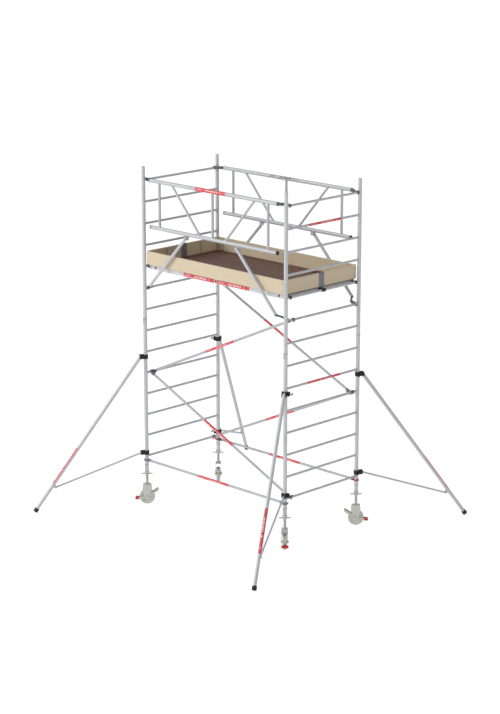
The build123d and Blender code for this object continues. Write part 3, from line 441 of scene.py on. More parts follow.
class Marking(Enum):
    """How a label is printed: share of its length and strength of the mark from there on."""

    RAIL = (
        (0.0, 0), (0.05, 0.5), (0.075, 0), (0.09, 0.4), (0.13, 0), (0.145, 0.4), (0.2, 0), (0.36, 1),
        (0.375, 0), (0.39, 1), (0.42, 0), (0.45, 1), (0.47, 0), (0.5, 1), (0.515, 0), (0.53, 1),
        (0.56, 0), (0.575, 1), (0.6, 0), (0.62, 1), (0.65, 0), (0.67, 1), (0.69, 0), (0.71, 1),
        (0.74, 0), (0.82, 0.6), (0.84, 0),
    )
    LEG = (
        (0.0, 0), (0.2, 1), (0.215, 0), (0.235, 1), (0.26, 0), (0.28, 1), (0.31, 0), (0.325, 1),
        (0.35, 0), (0.37, 1), (0.385, 0), (0.405, 1), (0.44, 0), (0.455, 1), (0.475, 0), (0.5, 1),
        (0.515, 0), (0.6, 1), (0.64, 0), (0.83, 0.6), (0.845, 0), (0.86, 0.6), (0.9, 0),
    )


@dataclass(frozen=True)
class Print:
    """A printed label: a band of colour with a row of plain blocks and no lettering."""

    name: str
    start: Vector
    run: Vector
    across: Vector
    marking: Marking
    ground: Colour = srgb(236, 44, 62)
    mark: Colour = srgb(246, 240, 240)
    half: float = 0.32

    def material(self) -> Material:
        """Makes the material, its blocks within half of the label's own half width."""
        recipe = Recipe(self.name)
        recipe.set(Coat_Weight=0.3, Coat_Roughness=0.2)
        ramp = recipe.node("ShaderNodeValToRGB")
        ramp.color_ramp.interpolation = "CONSTANT"
        steps = ramp.color_ramp.elements
        while len(steps) < len(self.marking.value):
            steps.new(1.0)
        for step, (share, on) in zip(steps, self.marking.value):
            step.position = share
            step.color = (on, on, on, 1.0)
        recipe.link(recipe.along(self.start, self.run), ramp.inputs["Fac"])
        aside = recipe.maths("ABSOLUTE", recipe.along(self.start, self.across))
        row = recipe.maths("LESS_THAN", aside, self.half)
        share = recipe.maths("MULTIPLY", ramp.outputs["Color"], row)
        faded = recipe.spread(recipe.noise(0.03), 0.0, 0.12)
        ground = recipe.mix(faded, self.ground, self.mark)
        recipe.colour(recipe.mix(share, ground, self.mark))
        recipe.roughness(recipe.spread(recipe.noise(0.01), 0.3, 0.42))
        return recipe.material


# ---- Shaping -----------------------------------------------------------------------------
class Piece:
    """A bmesh being shaped into one finished piece."""

    def __init__(self, name: str) -> None:
        """Starts an empty piece."""
        self.name = name
        self.bm = bmesh.new()

    def lathe(self, section: Section, place: Matrix, turns: int = 32, closed: bool = True) -> None:
        """Spins a section about Z.

        Args:
            section: Radius and height of each corner.
            place: Where the turned shape goes.
            turns: Facets round it.
            closed: Whether the section's last corner joins its first.
        """
        before = set(self.bm.verts)
        self.spin(section, closed, math.tau, turns, 0.0)
        made = [vert for vert in self.bm.verts if vert not in before]
        bmesh.ops.remove_doubles(self.bm, verts=made, dist=1e-7)
        made = [vert for vert in self.bm.verts if vert not in before]
        bmesh.ops.transform(self.bm, matrix=place, verts=made)

    def sweep(self, section: Section, place: Matrix, angle: float, steps: int, rise: float = 0.0) -> None:
        """Winds a closed section round Z, rising as it goes, and closes both its ends.

        Args:
            section: Radius and height of each corner.
            place: Where the swept shape goes.
            angle: How far it is swept.
            steps: Facets along it.
            rise: How far it rises at each step.
        """
        before = set(self.bm.verts)
        self.spin(section, True, angle, steps, rise)
        made = [vert for vert in self.bm.verts if vert not in before]
        rims = [edge for edge in {edge for vert in made for edge in vert.link_edges} if edge.is_boundary]
        bmesh.ops.holes_fill(self.bm, edges=rims, sides=len(section))
        bmesh.ops.transform(self.bm, matrix=place, verts=made)

    def spin(self, section: Section, closed: bool, angle: float, steps: int, rise: float) -> None:
        """Spins a section about Z, joined to itself after a whole turn on the level.

        Args:
            section: Radius and height of each corner.
            closed: Whether the section's last corner joins its first.
            angle: How far it turns.
            steps: Facets along it.
            rise: How far it rises at each step.
        """
        corners = [self.bm.verts.new((radius, 0.0, height)) for radius, height in section]
        edges = [self.bm.edges.new(pair) for pair in zip(corners, corners[1:])]
        if closed:
            edges.append(self.bm.edges.new((corners[-1], corners[0])))
        bmesh.ops.spin(
            self.bm, geom=[*corners, *edges], cent=(0, 0, 0), axis=(0, 0, 1), dvec=(0, 0, rise), angle=angle,
            steps=steps, use_merge=angle == math.tau, use_normal_flip=False, use_duplicate=False,
        )

    def block(self, size: Point, place: Matrix, edge: float) -> None:
        """A block with bevelled edges.

        Args:
            size: Its length, width and height.
            place: Where its middle goes.
            edge: Width of the bevel.
        """
        cube = bmesh.ops.create_cube(self.bm, size=1.0, matrix=Matrix.Diagonal((*size, 1.0)))
        edges = list({edge_ for vert in cube["verts"] for edge_ in vert.link_edges})
        before = set(self.bm.verts) - set(cube["verts"])
        bmesh.ops.bevel(
            self.bm, geom=edges, offset=edge, offset_type="OFFSET", affect="EDGES", segments=2,
            profile=0.5, material=-1,
        )
        made = [vert for vert in self.bm.verts if vert not in before]
        bmesh.ops.transform(self.bm, matrix=place, verts=made)

    def finish(self, body: str, material: Material, slot: str, *nodes: str) -> Thing:
        """Turns the shape into a piece that rides on a body.

        Args:
            body: The body it moves with.
            material: Its finish.
            slot: The record's material slot; not used.
            nodes: Nodes that it stands for.

        Returns:
            The piece.
        """
        bmesh.ops.recalc_face_normals(self.bm, faces=self.bm.faces)
        shade(self.bm)
        made = placed(self.name, self.bm, material)
        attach(made, body)
        if nodes:
            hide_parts(*nodes)
        log.info("%s: %d faces on %s", self.name, len(made.data.polygons), body)
        return made


def placed(name: str, bm: bmesh.types.BMesh, *materials: Material) -> Thing:
    """Turns a bmesh into an object in the scene.

    Args:
        name: The object's name.
        bm: Its shape, which is freed.
        materials: Its finishes.

    Returns:
        The object.
    """
    mesh = bpy.data.meshes.new(name)
    bm.to_mesh(mesh)
    bm.free()
    made = bpy.data.objects.new(name, mesh)
    bpy.context.scene.collection.objects.link(made)
    for material in materials:
        mesh.materials.append(material)
    return made


def ring(radius: float, out: float, up: float) -> list[tuple[float, float]]:
    """The round section of a bead or ring.

    Args:
        radius: Radius of its middle.
        out: Half its thickness outwards.
        up: Half its thickness upwards.

    Returns:
        Radius and height of each corner.
    """
    turns = (math.tau * step / 8 for step in range(8))
    return [(radius + out * math.cos(turn), up * math.sin(turn)) for turn in turns]


def shade(bm: bmesh.types.BMesh) -> None:
    """Shades faces smooth and keeps edges sharper than the smooth angle crisp."""
    for face in bm.faces:
        face.smooth = True
    for edge in bm.edges:
        edge.smooth = edge.is_manifold and edge.calc_face_angle(0.0) < SMOOTH_ANGLE


def between(start: Vector, end: Vector) -> Matrix:
    """The place whose origin is a start and whose +Z points to an end."""
    return Matrix.Translation(start) @ (end - start).to_track_quat("Z", "X").to_matrix().to_4x4()


def facing(centre: Vector, normal: Vector) -> Matrix:
    """The place whose origin is a centre and whose +Z is a normal."""
    return between(centre, centre + normal)


@dataclass
class Softener:
    """Makes edge-softened copies of nodes, which then stand for them."""

    nodes: dict[str, Thing]
    slots: dict[str, str]
    crease: float = math.radians(40)
    weld: float = 2e-6

    def copy(self, node: str, material: Material, edge: float, other: Material | None = None,
             where: Callable[[Vector], bool] | None = None) -> Thing:
        """Copies a node with its sharp edges bevelled.

        Args:
            node: The node.
            material: Its finish.
            edge: Width of the bevel.
            other: A second finish for some faces.
            where: Tells, from a face's middle, whether it takes the second finish.

        Returns:
            The copy.
        """
        source = self.nodes[node]
        bm = bmesh.new()
        bm.from_mesh(source.data)
        bmesh.ops.remove_doubles(bm, verts=bm.verts, dist=self.weld)
        bmesh.ops.dissolve_limit(
            bm, angle_limit=math.radians(0.4), use_dissolve_boundaries=False, verts=bm.verts,
            edges=bm.edges, delimit={"NORMAL"},
        )
        sharp = [e for e in bm.edges if e.is_manifold and e.calc_face_angle(0.0) > self.crease]
        bmesh.ops.bevel(
            bm, geom=sharp, offset=edge, offset_type="OFFSET", affect="EDGES", segments=2,
            profile=0.5, material=-1, clamp_overlap=True,
        )
        if where is not None:
            for face in bm.faces:
                face.material_index = int(where(face.calc_center_median()))
        shade(bm)
        made = placed(f"{node}_softened", bm, *filter(None, (material, other)))
        normals = made.modifiers.new("even_normals", "WEIGHTED_NORMAL")
        normals.keep_sharp = True
        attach(made, source["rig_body"])
        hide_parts(node)
        log.info("%s: %d faces softened", node, len(made.data.polygons))
        return made


def paint(node: Thing, material: Material) -> None:
    """Gives a carried-over node its finish."""
    node.data.materials.clear()
    node.data.materials.append(material)


@dataclass
class Tower:
    """Main places of the tower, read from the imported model."""

    nodes: dict[str, Thing]
    slots: dict[str, str]
    pitch: float = 0.28
    post_radius: float = 0.025
    rung_radius: float = 0.015
    rungs_per_lift: int = 7
    tail: float = 0.23
    post_x: float = field(init=False)
    post_y: float = field(init=False)
    foot: float = field(init=False)

    def __post_init__(self) -> None:
        """Reads the posts' places from the frames."""
        low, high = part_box("frame_lower_right")
        self.post_x = (low.x + high.x) / 2
        self.post_y = high.y - self.post_radius
        self.foot = low.z

    def rung(self, number: int) -> float:
        """Height of a rung, counted from 1."""
        return self.foot + self.tail + (number - 1) * self.pitch


def sleeve(
    name: str, start: Vector, end: Vector, radius: float, up: Vector, slot: str, marking: Marking = Marking.RAIL,
    body: str = "tower", wrap: float = math.tau, **look: object,
) -> Thing:
    """A label wrapped round a tube.

    Args:
        name: The piece's name.
        start: Its start on the tube's axis.
        end: Its end on the tube's axis.
        radius: The tube's radius.
        up: Across the tube, towards the middle of the label.
        slot: The material slot.
        marking: How it is printed.
        body: The body it rides on.
        wrap: How far round the tube it goes.
        look: Other fields of the print.

    Returns:
        The label.
    """
    piece = Piece(name)
    run = end - start
    length = run.length
    inner, outer = radius - LABEL_SKIN, radius + LABEL_SKIN
    section = [(inner, 0), (outer, 0), (outer, length), (inner, length)]
    axis = run.normalized()
    middle = (up - axis * up.dot(axis)).normalized()
    place = Matrix.Translation(start) @ Matrix((middle, axis.cross(middle), axis)).transposed().to_4x4()
    if wrap > math.pi * 1.9:
        piece.lathe(section, place, 40)
    else:
        piece.sweep(section, place @ Matrix.Rotation(-wrap / 2, 4, "Z"), wrap, LABEL_STEPS)
    printed = Print(f"{name}_print", start, run, axis.cross(middle) * radius, marking, **look)
    return piece.finish(body, printed.material(), slot)


# ---- Sub-assemblies ------------------------------------------------------------------------
@dataclass
class EndFrames:
    """The four ladder frames: finish, weld beads, crimps and clips."""

    tower: Tower
    bead: float = 0.0024
    crimp_up: float = 0.053
    crimp: float = 0.0013
    label_from: float = -0.267
    label_to: float = 0.305
    labelled: tuple[int, ...] = (6, 13)

    def bead_ring(self, piece: Piece, centre: Vector, side: int) -> None:
        """One weld bead round a rung's end, following the post's round face."""
        tower = self.tower
        before = set(piece.bm.verts)
        section = ring(tower.rung_radius, self.bead, self.bead)
        piece.lathe(section, facing(centre, Vector((0, -side, 0))), 24)
        for vert in piece.bm.verts:
            if vert not in before:
                out = vert.co.x - centre.x
                vert.co.y -= side * (math.sqrt(tower.post_radius**2 - out**2) + self.bead / 3)

    def build(self, soft: Softener) -> None:
        """Dresses the frames and adds the beads, crimps and labels."""
        tower = self.tower
        post = DrawnAluminium("frame_tube", (0.74, 0.75, 0.78), (0.62, 0.63, 0.66), Way.Z).material()
        weld = CastMetal("weld_bead", (0.66, 0.67, 0.69), (0.5, 0.51, 0.53), 0.85, 0.42, 0.0015).material()
        for end, side_x in (("left", -1), ("right", 1)):
            for lift, first in (("lower", 1), ("upper", 1 + tower.rungs_per_lift)):
                node = f"frame_{lift}_{end}"
                paint(tower.nodes[node], post)
                piece = Piece(f"welds_{lift}_{end}")
                x = side_x * tower.post_x
                for side_y in (-1, 1):
                    for number in range(first, first + tower.rungs_per_lift):
                        centre = Vector((x, side_y * tower.post_y, tower.rung(number)))
                        self.bead_ring(piece, centre, side_y)
                    foot = tower.rung(first) - tower.tail
                    crimp = Vector((x, side_y * tower.post_y, foot + self.crimp_up))
                    section = ring(tower.post_radius, self.crimp, self.crimp)
                    piece.lathe(section, Matrix.Translation(crimp), 48)
                piece.finish("tower", weld, tower.slots[node])
        clip = CastMetal("clip_spring_steel", (0.6, 0.6, 0.61), (0.46, 0.46, 0.47), 0.9, 0.32, 0.004).material()
        soft.copy("interlock_clips", clip, 0.0005)
        for number in self.labelled:
            lift = "lower" if number <= tower.rungs_per_lift else "upper"
            start = Vector((tower.post_x, self.label_from, tower.rung(number)))
            end = Vector((tower.post_x, self.label_to, tower.rung(number)))
            slot = tower.slots[f"frame_{lift}_right"]
            sleeve(f"label_rung_{number}", start, end, tower.rung_radius, Vector((1, 0, 0.3)), slot)


@dataclass
class Braces:
    """Diagonal and horizontal braces with their hooks, latches and labels."""

    tower: Tower
    radius: float = 0.016
    label: float = 0.55
    lower_inset: float = 0.09
    upper_inset: float = 0.125
    drop: float = 0.053

    def build(self, soft: Softener) -> None:
        """Dresses the braces and adds their labels."""
        tower = self.tower
        tube = DrawnAluminium("brace_tube", (0.6, 0.61, 0.64), (0.5, 0.51, 0.54), Way.X).material()
        for node, thing in tower.nodes.items():
            if node.startswith(("diagonal_brace", "horizontal_brace")):
                paint(thing, tube)
        hook = CastMetal("hook_casting", srgb(150, 156, 168), srgb(116, 122, 134), 0.55, 0.42).material()
        latch = Enamel("latch_red", srgb(196, 26, 38), srgb(120, 20, 26)).material()
        soft.copy("brace_hooks", hook, 0.0012)
        soft.copy("brace_latches", latch, 0.0006)
        for side_name, side in (("front", -1), ("back", 1)):
            lifts = (("lower", 1, self.lower_inset, 1), ("upper", 5, self.upper_inset, -1))
            for lift, low, inset, way in lifts:
                y = side * (tower.post_y - inset)
                foot = Vector((-side * way * tower.post_x, y, tower.rung(low)))
                head = Vector((side * way * tower.post_x, y, tower.rung(low + 4)))
                self.mark(f"label_diagonal_{side_name}_{lift}", foot, head)
            height = tower.rung(1) - self.drop
            reach = Vector((tower.post_x, 0, 0))
            middle = Vector((0, side * tower.post_y, height))
            self.mark(f"label_horizontal_{side_name}", middle - reach, middle + reach)

    def mark(self, name: str, start: Vector, end: Vector) -> None:
        """Wraps a label round the middle of a brace."""
        if start.x > end.x:
            start, end = end, start
        run = (end - start).normalized()
        middle = (start + end) / 2
        half = run * self.label / 2
        sleeve(name, middle - half, middle + half, self.radius, Vector((0, -1, 0)), "brace_aluminium")


@dataclass
class Guardrails:
    """Guardrail frames, their welds, hooks, struts and labels."""

    tower: Tower
    rail: float = 0.024
    stanchion: float = 0.017
    diagonal: float = 0.015
    stanchion_x: float = 0.952
    diagonal_top: float = 0.735
    diagonal_foot: float = 0.212
    bead: float = 0.0022
    label_from: float = -0.29
    label_to: float = 0.24
    rail_end: float = 1.112
    elbow: float = 2.975
    top: float = field(init=False)
    low: float = field(init=False)

    def __post_init__(self) -> None:
        """Reads the rails' heights from the front guardrail."""
        self.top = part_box("guardrail_front")[1].z - self.rail
        self.low = self.top - 0.595

    def collar(self, piece: Piece, foot: Vector, run: Vector, radius: float) -> None:
        """A weld bead where a tube meets a rail that runs along X."""
        before = set(piece.bm.verts)
        piece.lathe(ring(radius, self.bead, self.bead), facing(foot, run), 24)
        for vert in piece.bm.verts:
            if vert not in before:
                aside = vert.co.y - foot.y
                rise = math.sqrt(self.rail**2 - aside**2) + self.bead / 3
                vert.co += run * (rise / abs(run.z))

    def plugs(self, tower: Tower) -> None:
        """Black end plugs in the lower rails, each with a black skirt over the rail's end."""
        black = Moulding("plug_black", srgb(36, 36, 38), srgb(60, 60, 62), 0.45).material()
        piece = Piece("rail_plugs")
        radius = self.rail + 0.0008
        for side in (-1, 1):
            for end in (-1, 1):
                tip = Vector((end * self.rail_end, side * tower.post_y, self.low))
                section = [
                    (0, 0.006), (radius * 0.55, 0.0055), (radius * 0.6, 0.0035), (radius * 0.8, 0.0035),
                    (radius * 0.88, 0.006), (radius, 0.004), (radius, -0.012), (self.rail - 0.001, -0.0125),
                    (self.rail - 0.001, -0.02), (0, -0.02),
                ]
                piece.lathe(section, facing(tip, Vector((end, 0, 0))), 32, closed=False)
        piece.finish("tower", black, "guardrail_hook_grey")

    def build(self, soft: Softener) -> None:
        """Dresses the guardrails and struts and adds welds and labels."""
        tower = self.tower
        tube = DrawnAluminium("guardrail_tube", (0.64, 0.65, 0.68), (0.54, 0.55, 0.58), Way.X).material()
        weld = bpy.data.materials["weld_bead"]
        for side_name, side in (("front", -1), ("back", 1)):
            node = f"guardrail_{side_name}"
            paint(tower.nodes[node], tube)
            piece = Piece(f"welds_{node}")
            y = side * tower.post_y
            for x in (-self.stanchion_x, 0.0, self.stanchion_x):
                self.collar(piece, Vector((x, y, self.low)), Vector((0, 0, 1)), self.stanchion)
                self.collar(piece, Vector((x, y, self.top)), Vector((0, 0, -1)), self.stanchion)
            for end in (-1, 1):
                foot = Vector((end * self.diagonal_foot, y, self.low))
                head = Vector((end * self.diagonal_top, y, self.top))
                run = (head - foot).normalized()
                self.collar(piece, foot, run, self.diagonal)
                self.collar(piece, head, -run, self.diagonal)
            piece.finish("tower", weld, tower.slots[node])
        self.plugs(tower)
        hook = Enamel("guardrail_hook_coat", srgb(92, 95, 100), srgb(130, 132, 136), 0.45, 0.1).material()
        soft.copy("guardrail_hooks", hook, 0.0012)
        strut = DrawnAluminium("strut_tube").material()
        link = CastMetal("strut_link_casting", srgb(128, 130, 135), srgb(98, 100, 105), 0.5, 0.42).material()
        for corner in Corner:
            node = f"guardrail_strut_{corner.tag}"
            soft.copy(node, strut, 0.0008, link, lambda point: point.z < self.elbow)
        self.mark("front", -1, 0.3)
        self.mark("back", 1, 0.6, ground=srgb(196, 198, 203), mark=srgb(40, 36, 38), half=0.4)

    def mark(self, side_name: str, side: int, lift: float, **look: object) -> None:
        """Wraps a label round the middle of a top rail.

        Args:
            side_name: The rail's side, as in its node.
            side: The rail's side in Y.
            lift: How far up the label's middle faces.
            look: Other fields of the print.
        """
        start, end = (Vector((x, side * self.tower.post_y, self.top)) for x in (self.label_from, self.label_to))
        up = Vector((0, -1, lift))
        sleeve(f"label_guardrail_{side_name}", start, end, self.rail, up, "guardrail_aluminium", **look)


@dataclass
class Platform:
    """Deck frames, boards, hatch, plugs, beam labels and edge ribs."""

    tower: Tower
    plug: float = 0.024
    plug_xs: tuple[float, ...] = (-1.09, 0.0, 1.09)
    label_spans: tuple[tuple[float, float], ...] = ((-0.576, -0.03), (0.02, 0.584))
    label_height: float = 0.046
    rib: float = 0.004
    screw: float = 0.0055
    screw_rows: int = 9
    reach: float = 1.1995
    end_face: float = 1.2035
    border_rise: float = 0.0085

    def build(self, soft: Softener) -> None:
        """Dresses the platform and adds its small parts."""
        tower = self.tower
        beam = DrawnAluminium("platform_beam", (0.78, 0.79, 0.82), (0.68, 0.69, 0.72), Way.X).material()
        claw = CastMetal("claw_casting", srgb(84, 87, 92), srgb(58, 60, 64), 0.4, 0.45).material()
        film = DeckFilm("deck_film").material()
        plastic = Moulding("plug_plastic", srgb(34, 34, 36), srgb(62, 62, 64)).material()
        zinc = Galvanised("screw_zinc").material()
        for side in ("front", "back"):
            node = f"platform_frame_{side}"
            soft.copy(node, beam, 0.001, claw, lambda point: abs(point.x) > self.end_face)
            soft.copy(f"deck_{side}", film, 0.0008)
        soft.copy("hatch", film, 0.0008)
        low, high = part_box("platform_frame_front")
        top, face = high.z, low.y
        height = top - low.z
        middle = top - height / 2
        plugs = Piece("beam_plugs")
        for side in (-1, 1):
            for x in self.plug_xs:
                centre = Vector((x, side * (abs(face) + 0.001), middle))
                plugs.block((self.plug, 0.005, self.plug), Matrix.Translation(centre), 0.0012)
        plugs.finish("tower", plastic, "platform_aluminium")
        for index, (start, end) in enumerate(self.label_spans):
            piece = Piece(f"label_beam_{index}")
            size = (end - start, 0.0012, self.label_height)
            centre = Vector(((start + end) / 2, face - 0.0003, middle))
            piece.block(size, Matrix.Translation(centre), 0.0003)
            half = self.label_height / 2
            printed = Print(
                f"label_beam_{index}_print", Vector((start, face, middle)), Vector((end - start, 0, 0)),
                Vector((0, 0, half)), Marking.RAIL, half=0.5,
            )
            piece.finish("tower", printed.material(), "platform_aluminium")
        self.ribs(beam, low, high)
        self.screws(zinc)
        self.borders(film, plastic, low)

    def ribs(self, beam: Material, low: Vector, high: Vector) -> None:
        """Extruded lips along the outer faces of the end beams.

        Args:
            beam: The beams' finish.
            low: Lowest corner of the front deck's frame.
            high: Highest corner of the front deck's frame.
        """
        claw_reach = 0.047
        face = self.tower.post_x - claw_reach
        piece = Piece("end_beam_ribs")
        bay_from, bay_to = 0.04, abs(low.y) - 0.038
        for end in (-1, 1):
            for side in (-1, 1):
                for height in (low.z + 0.006, low.z + 0.026, high.z - 0.016):
                    centre = Vector((end * (face + self.rib / 2), side * (bay_from + bay_to) / 2, height))
                    size = (self.rib, bay_to - bay_from, 2 * self.rib)
                    piece.block(size, Matrix.Translation(centre), 0.0012)
        piece.finish("tower", beam, "platform_aluminium")

    def borders(self, film: Material, painted_shade_finish: Material, low: Vector) -> None:
        """Film carried over the beams' tops to the boards, and dark strips of painted shade under the end boards
        and in the end beams' lower grooves.

        Args:
            film: The deck's finish.
            painted_shade_finish: The dark finish of the strips of painted shade.
            low: Lowest corner of the front deck's frame.
        """
        piece = Piece("deck_borders")
        deck_low, deck_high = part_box("deck_front")
        top = self.tower.rung(10) + 0.032
        skin, rise = 0.0016, self.border_rise
        height = top + skin / 2
        outer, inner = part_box("toe_boards_side")[1].y - 0.0248, abs(deck_low.y) - 0.001
        for side in (-1, 1):
            width = outer - inner
            centre = Vector((0, side * (outer + inner) / 2, top + rise / 2))
            piece.block((2 * self.reach, width, rise), Matrix.Translation(centre), 0.0006)
            centre = Vector((0, side * abs(deck_high.y) / 2, height))
            piece.block((2 * self.reach, abs(deck_high.y), skin), Matrix.Translation(centre), 0.0004)
        for end in (-1, 1):
            span = self.reach - deck_high.x
            centre = Vector((end * (self.reach + deck_high.x) / 2, 0, top + rise / 2))
            piece.block((span, 2 * inner, rise), Matrix.Translation(centre), 0.0006)
        piece.finish("tower", film, "deck_plywood")
        # Painted shade: dark strips stand for the shade in the gap under each end board and in the groove between
        # each end beam's lower lips.
        strip = Piece("end_seals")
        for end in (-1, 1):
            for side in (-1, 1):
                centre = Vector((end * (self.tower.post_x - 0.032), side * 0.33, top + 0.0042))
                strip.block((0.0135, 0.55, 0.0068), Matrix.Translation(centre), 0.001)
                centre = Vector((end * (self.tower.post_x - 0.0465), side * 0.3, low.z + 0.017))
                strip.block((0.003, 0.5, 0.006), Matrix.Translation(centre), 0.001)
        strip.finish("tower", painted_shade_finish, "platform_aluminium")

    def screws(self, zinc: Material) -> None:
        """Countersunk screw heads along the edges of both decks."""
        piece = Piece("deck_screws")
        for side in ("front", "back"):
            low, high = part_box(f"deck_{side}")
            top = self.tower.rung(10) + 0.032
            inset = 0.014
            for row in range(self.screw_rows):
                x = low.x + 0.05 + (high.x - low.x - 0.1) * row / (self.screw_rows - 1)
                for y in (low.y + inset, high.y - inset):
                    radius = self.screw
                    section = [
                        (0, 0.0009), (radius * 0.45, 0.0009), (radius * 0.5, 0.0004), (radius * 0.8, 0.001),
                        (radius, 0.0), (radius, -0.001), (0, -0.001),
                    ]
                    piece.lathe(section, Matrix.Translation((x, y, top)), 14, closed=False)
        piece.finish("tower", zinc, "deck_plywood")


@dataclass
class ToeBoards:
    """Toe boards, their angles and their screws."""

    tower: Tower
    screw: float = 0.006
    inset: float = 0.022
    heights: tuple[float, float] = (0.035, 0.135)
    joint_step: float = 0.0017
    joint_back: float = 0.0293
    joint_rib: float = 0.0035
    joint_depth: float = 0.03
    joint_half: float = 0.05
    rib_ys: tuple[float, ...] = (-0.041, -0.014, 0.014, 0.041)
    rib_width: float = 0.008

    def joints(self, grey: Material) -> None:
        """Ribs down the grey box posts in the middle of the end boards."""
        low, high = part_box("toe_boards_end")
        piece = Piece("board_joint_ribs")
        middle = (low.z + high.z) / 2
        height = high.z - low.z
        for end in (-1, 1):
            for face, out in ((high.x - self.joint_step, 1), (high.x - self.joint_back, -1)):
                for rib in self.rib_ys:
                    at = Matrix.Translation((end * (face + out * self.joint_rib / 2), rib, middle))
                    piece.block((self.joint_rib, self.rib_width, height), at, 0.001)
        piece.finish("tower", grey, "bracket_dark")

    def build(self, soft: Softener) -> None:
        """Dresses the boards and adds their screws."""
        soft.copy("toe_boards_side", Timber("side_board_timber", Way.X).material(), 0.0018)
        end_timber = Timber("end_board_timber", Way.Y, srgb(226, 209, 180), srgb(214, 197, 167))
        soft.copy("toe_boards_end", end_timber.material(), 0.0018)
        bracket = Enamel("bracket_cream", srgb(196, 184, 158), srgb(170, 158, 132), 0.5, 0.1).material()
        joint = CastMetal("board_joint_grey", srgb(158, 161, 167), srgb(132, 135, 141), 0.45, 0.42).material()
        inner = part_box("toe_boards_end")[1].x - self.joint_depth

        def is_joint(point: Vector) -> bool:
            """Whether a face belongs to a box post in the middle of an end board."""
            return abs(point.x) > inner and abs(point.y) < self.joint_half

        soft.copy("toe_board_brackets", bracket, 0.0006, joint, is_joint)
        self.joints(joint)
        dark = Moulding("screw_black", srgb(40, 34, 30), srgb(70, 62, 56), 0.35).material()
        low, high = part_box("toe_boards_side")
        end_low, end_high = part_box("toe_boards_end")
        piece = Piece("toe_board_screws")
        radius = self.screw
        dome = [
            (0, 0.0022), (radius * 0.5, 0.002), (radius * 0.85, 0.0012), (radius, 0), (radius, -0.001), (0, -0.001),
        ]
        for up in self.heights:
            for end in (-1, 1):
                for side in (-1, 1):
                    on_side = Vector((end * (high.x - self.inset), side * high.y, low.z + up))
                    piece.lathe(dome, facing(on_side, Vector((0, side, 0))), 18, closed=False)
                    on_end = Vector((end * end_high.x, side * (end_high.y - self.inset), low.z + up))
                    piece.lathe(dome, facing(on_end, Vector((end, 0, 0))), 18, closed=False)
        piece.finish("tower", dark, "toe_board_wood")


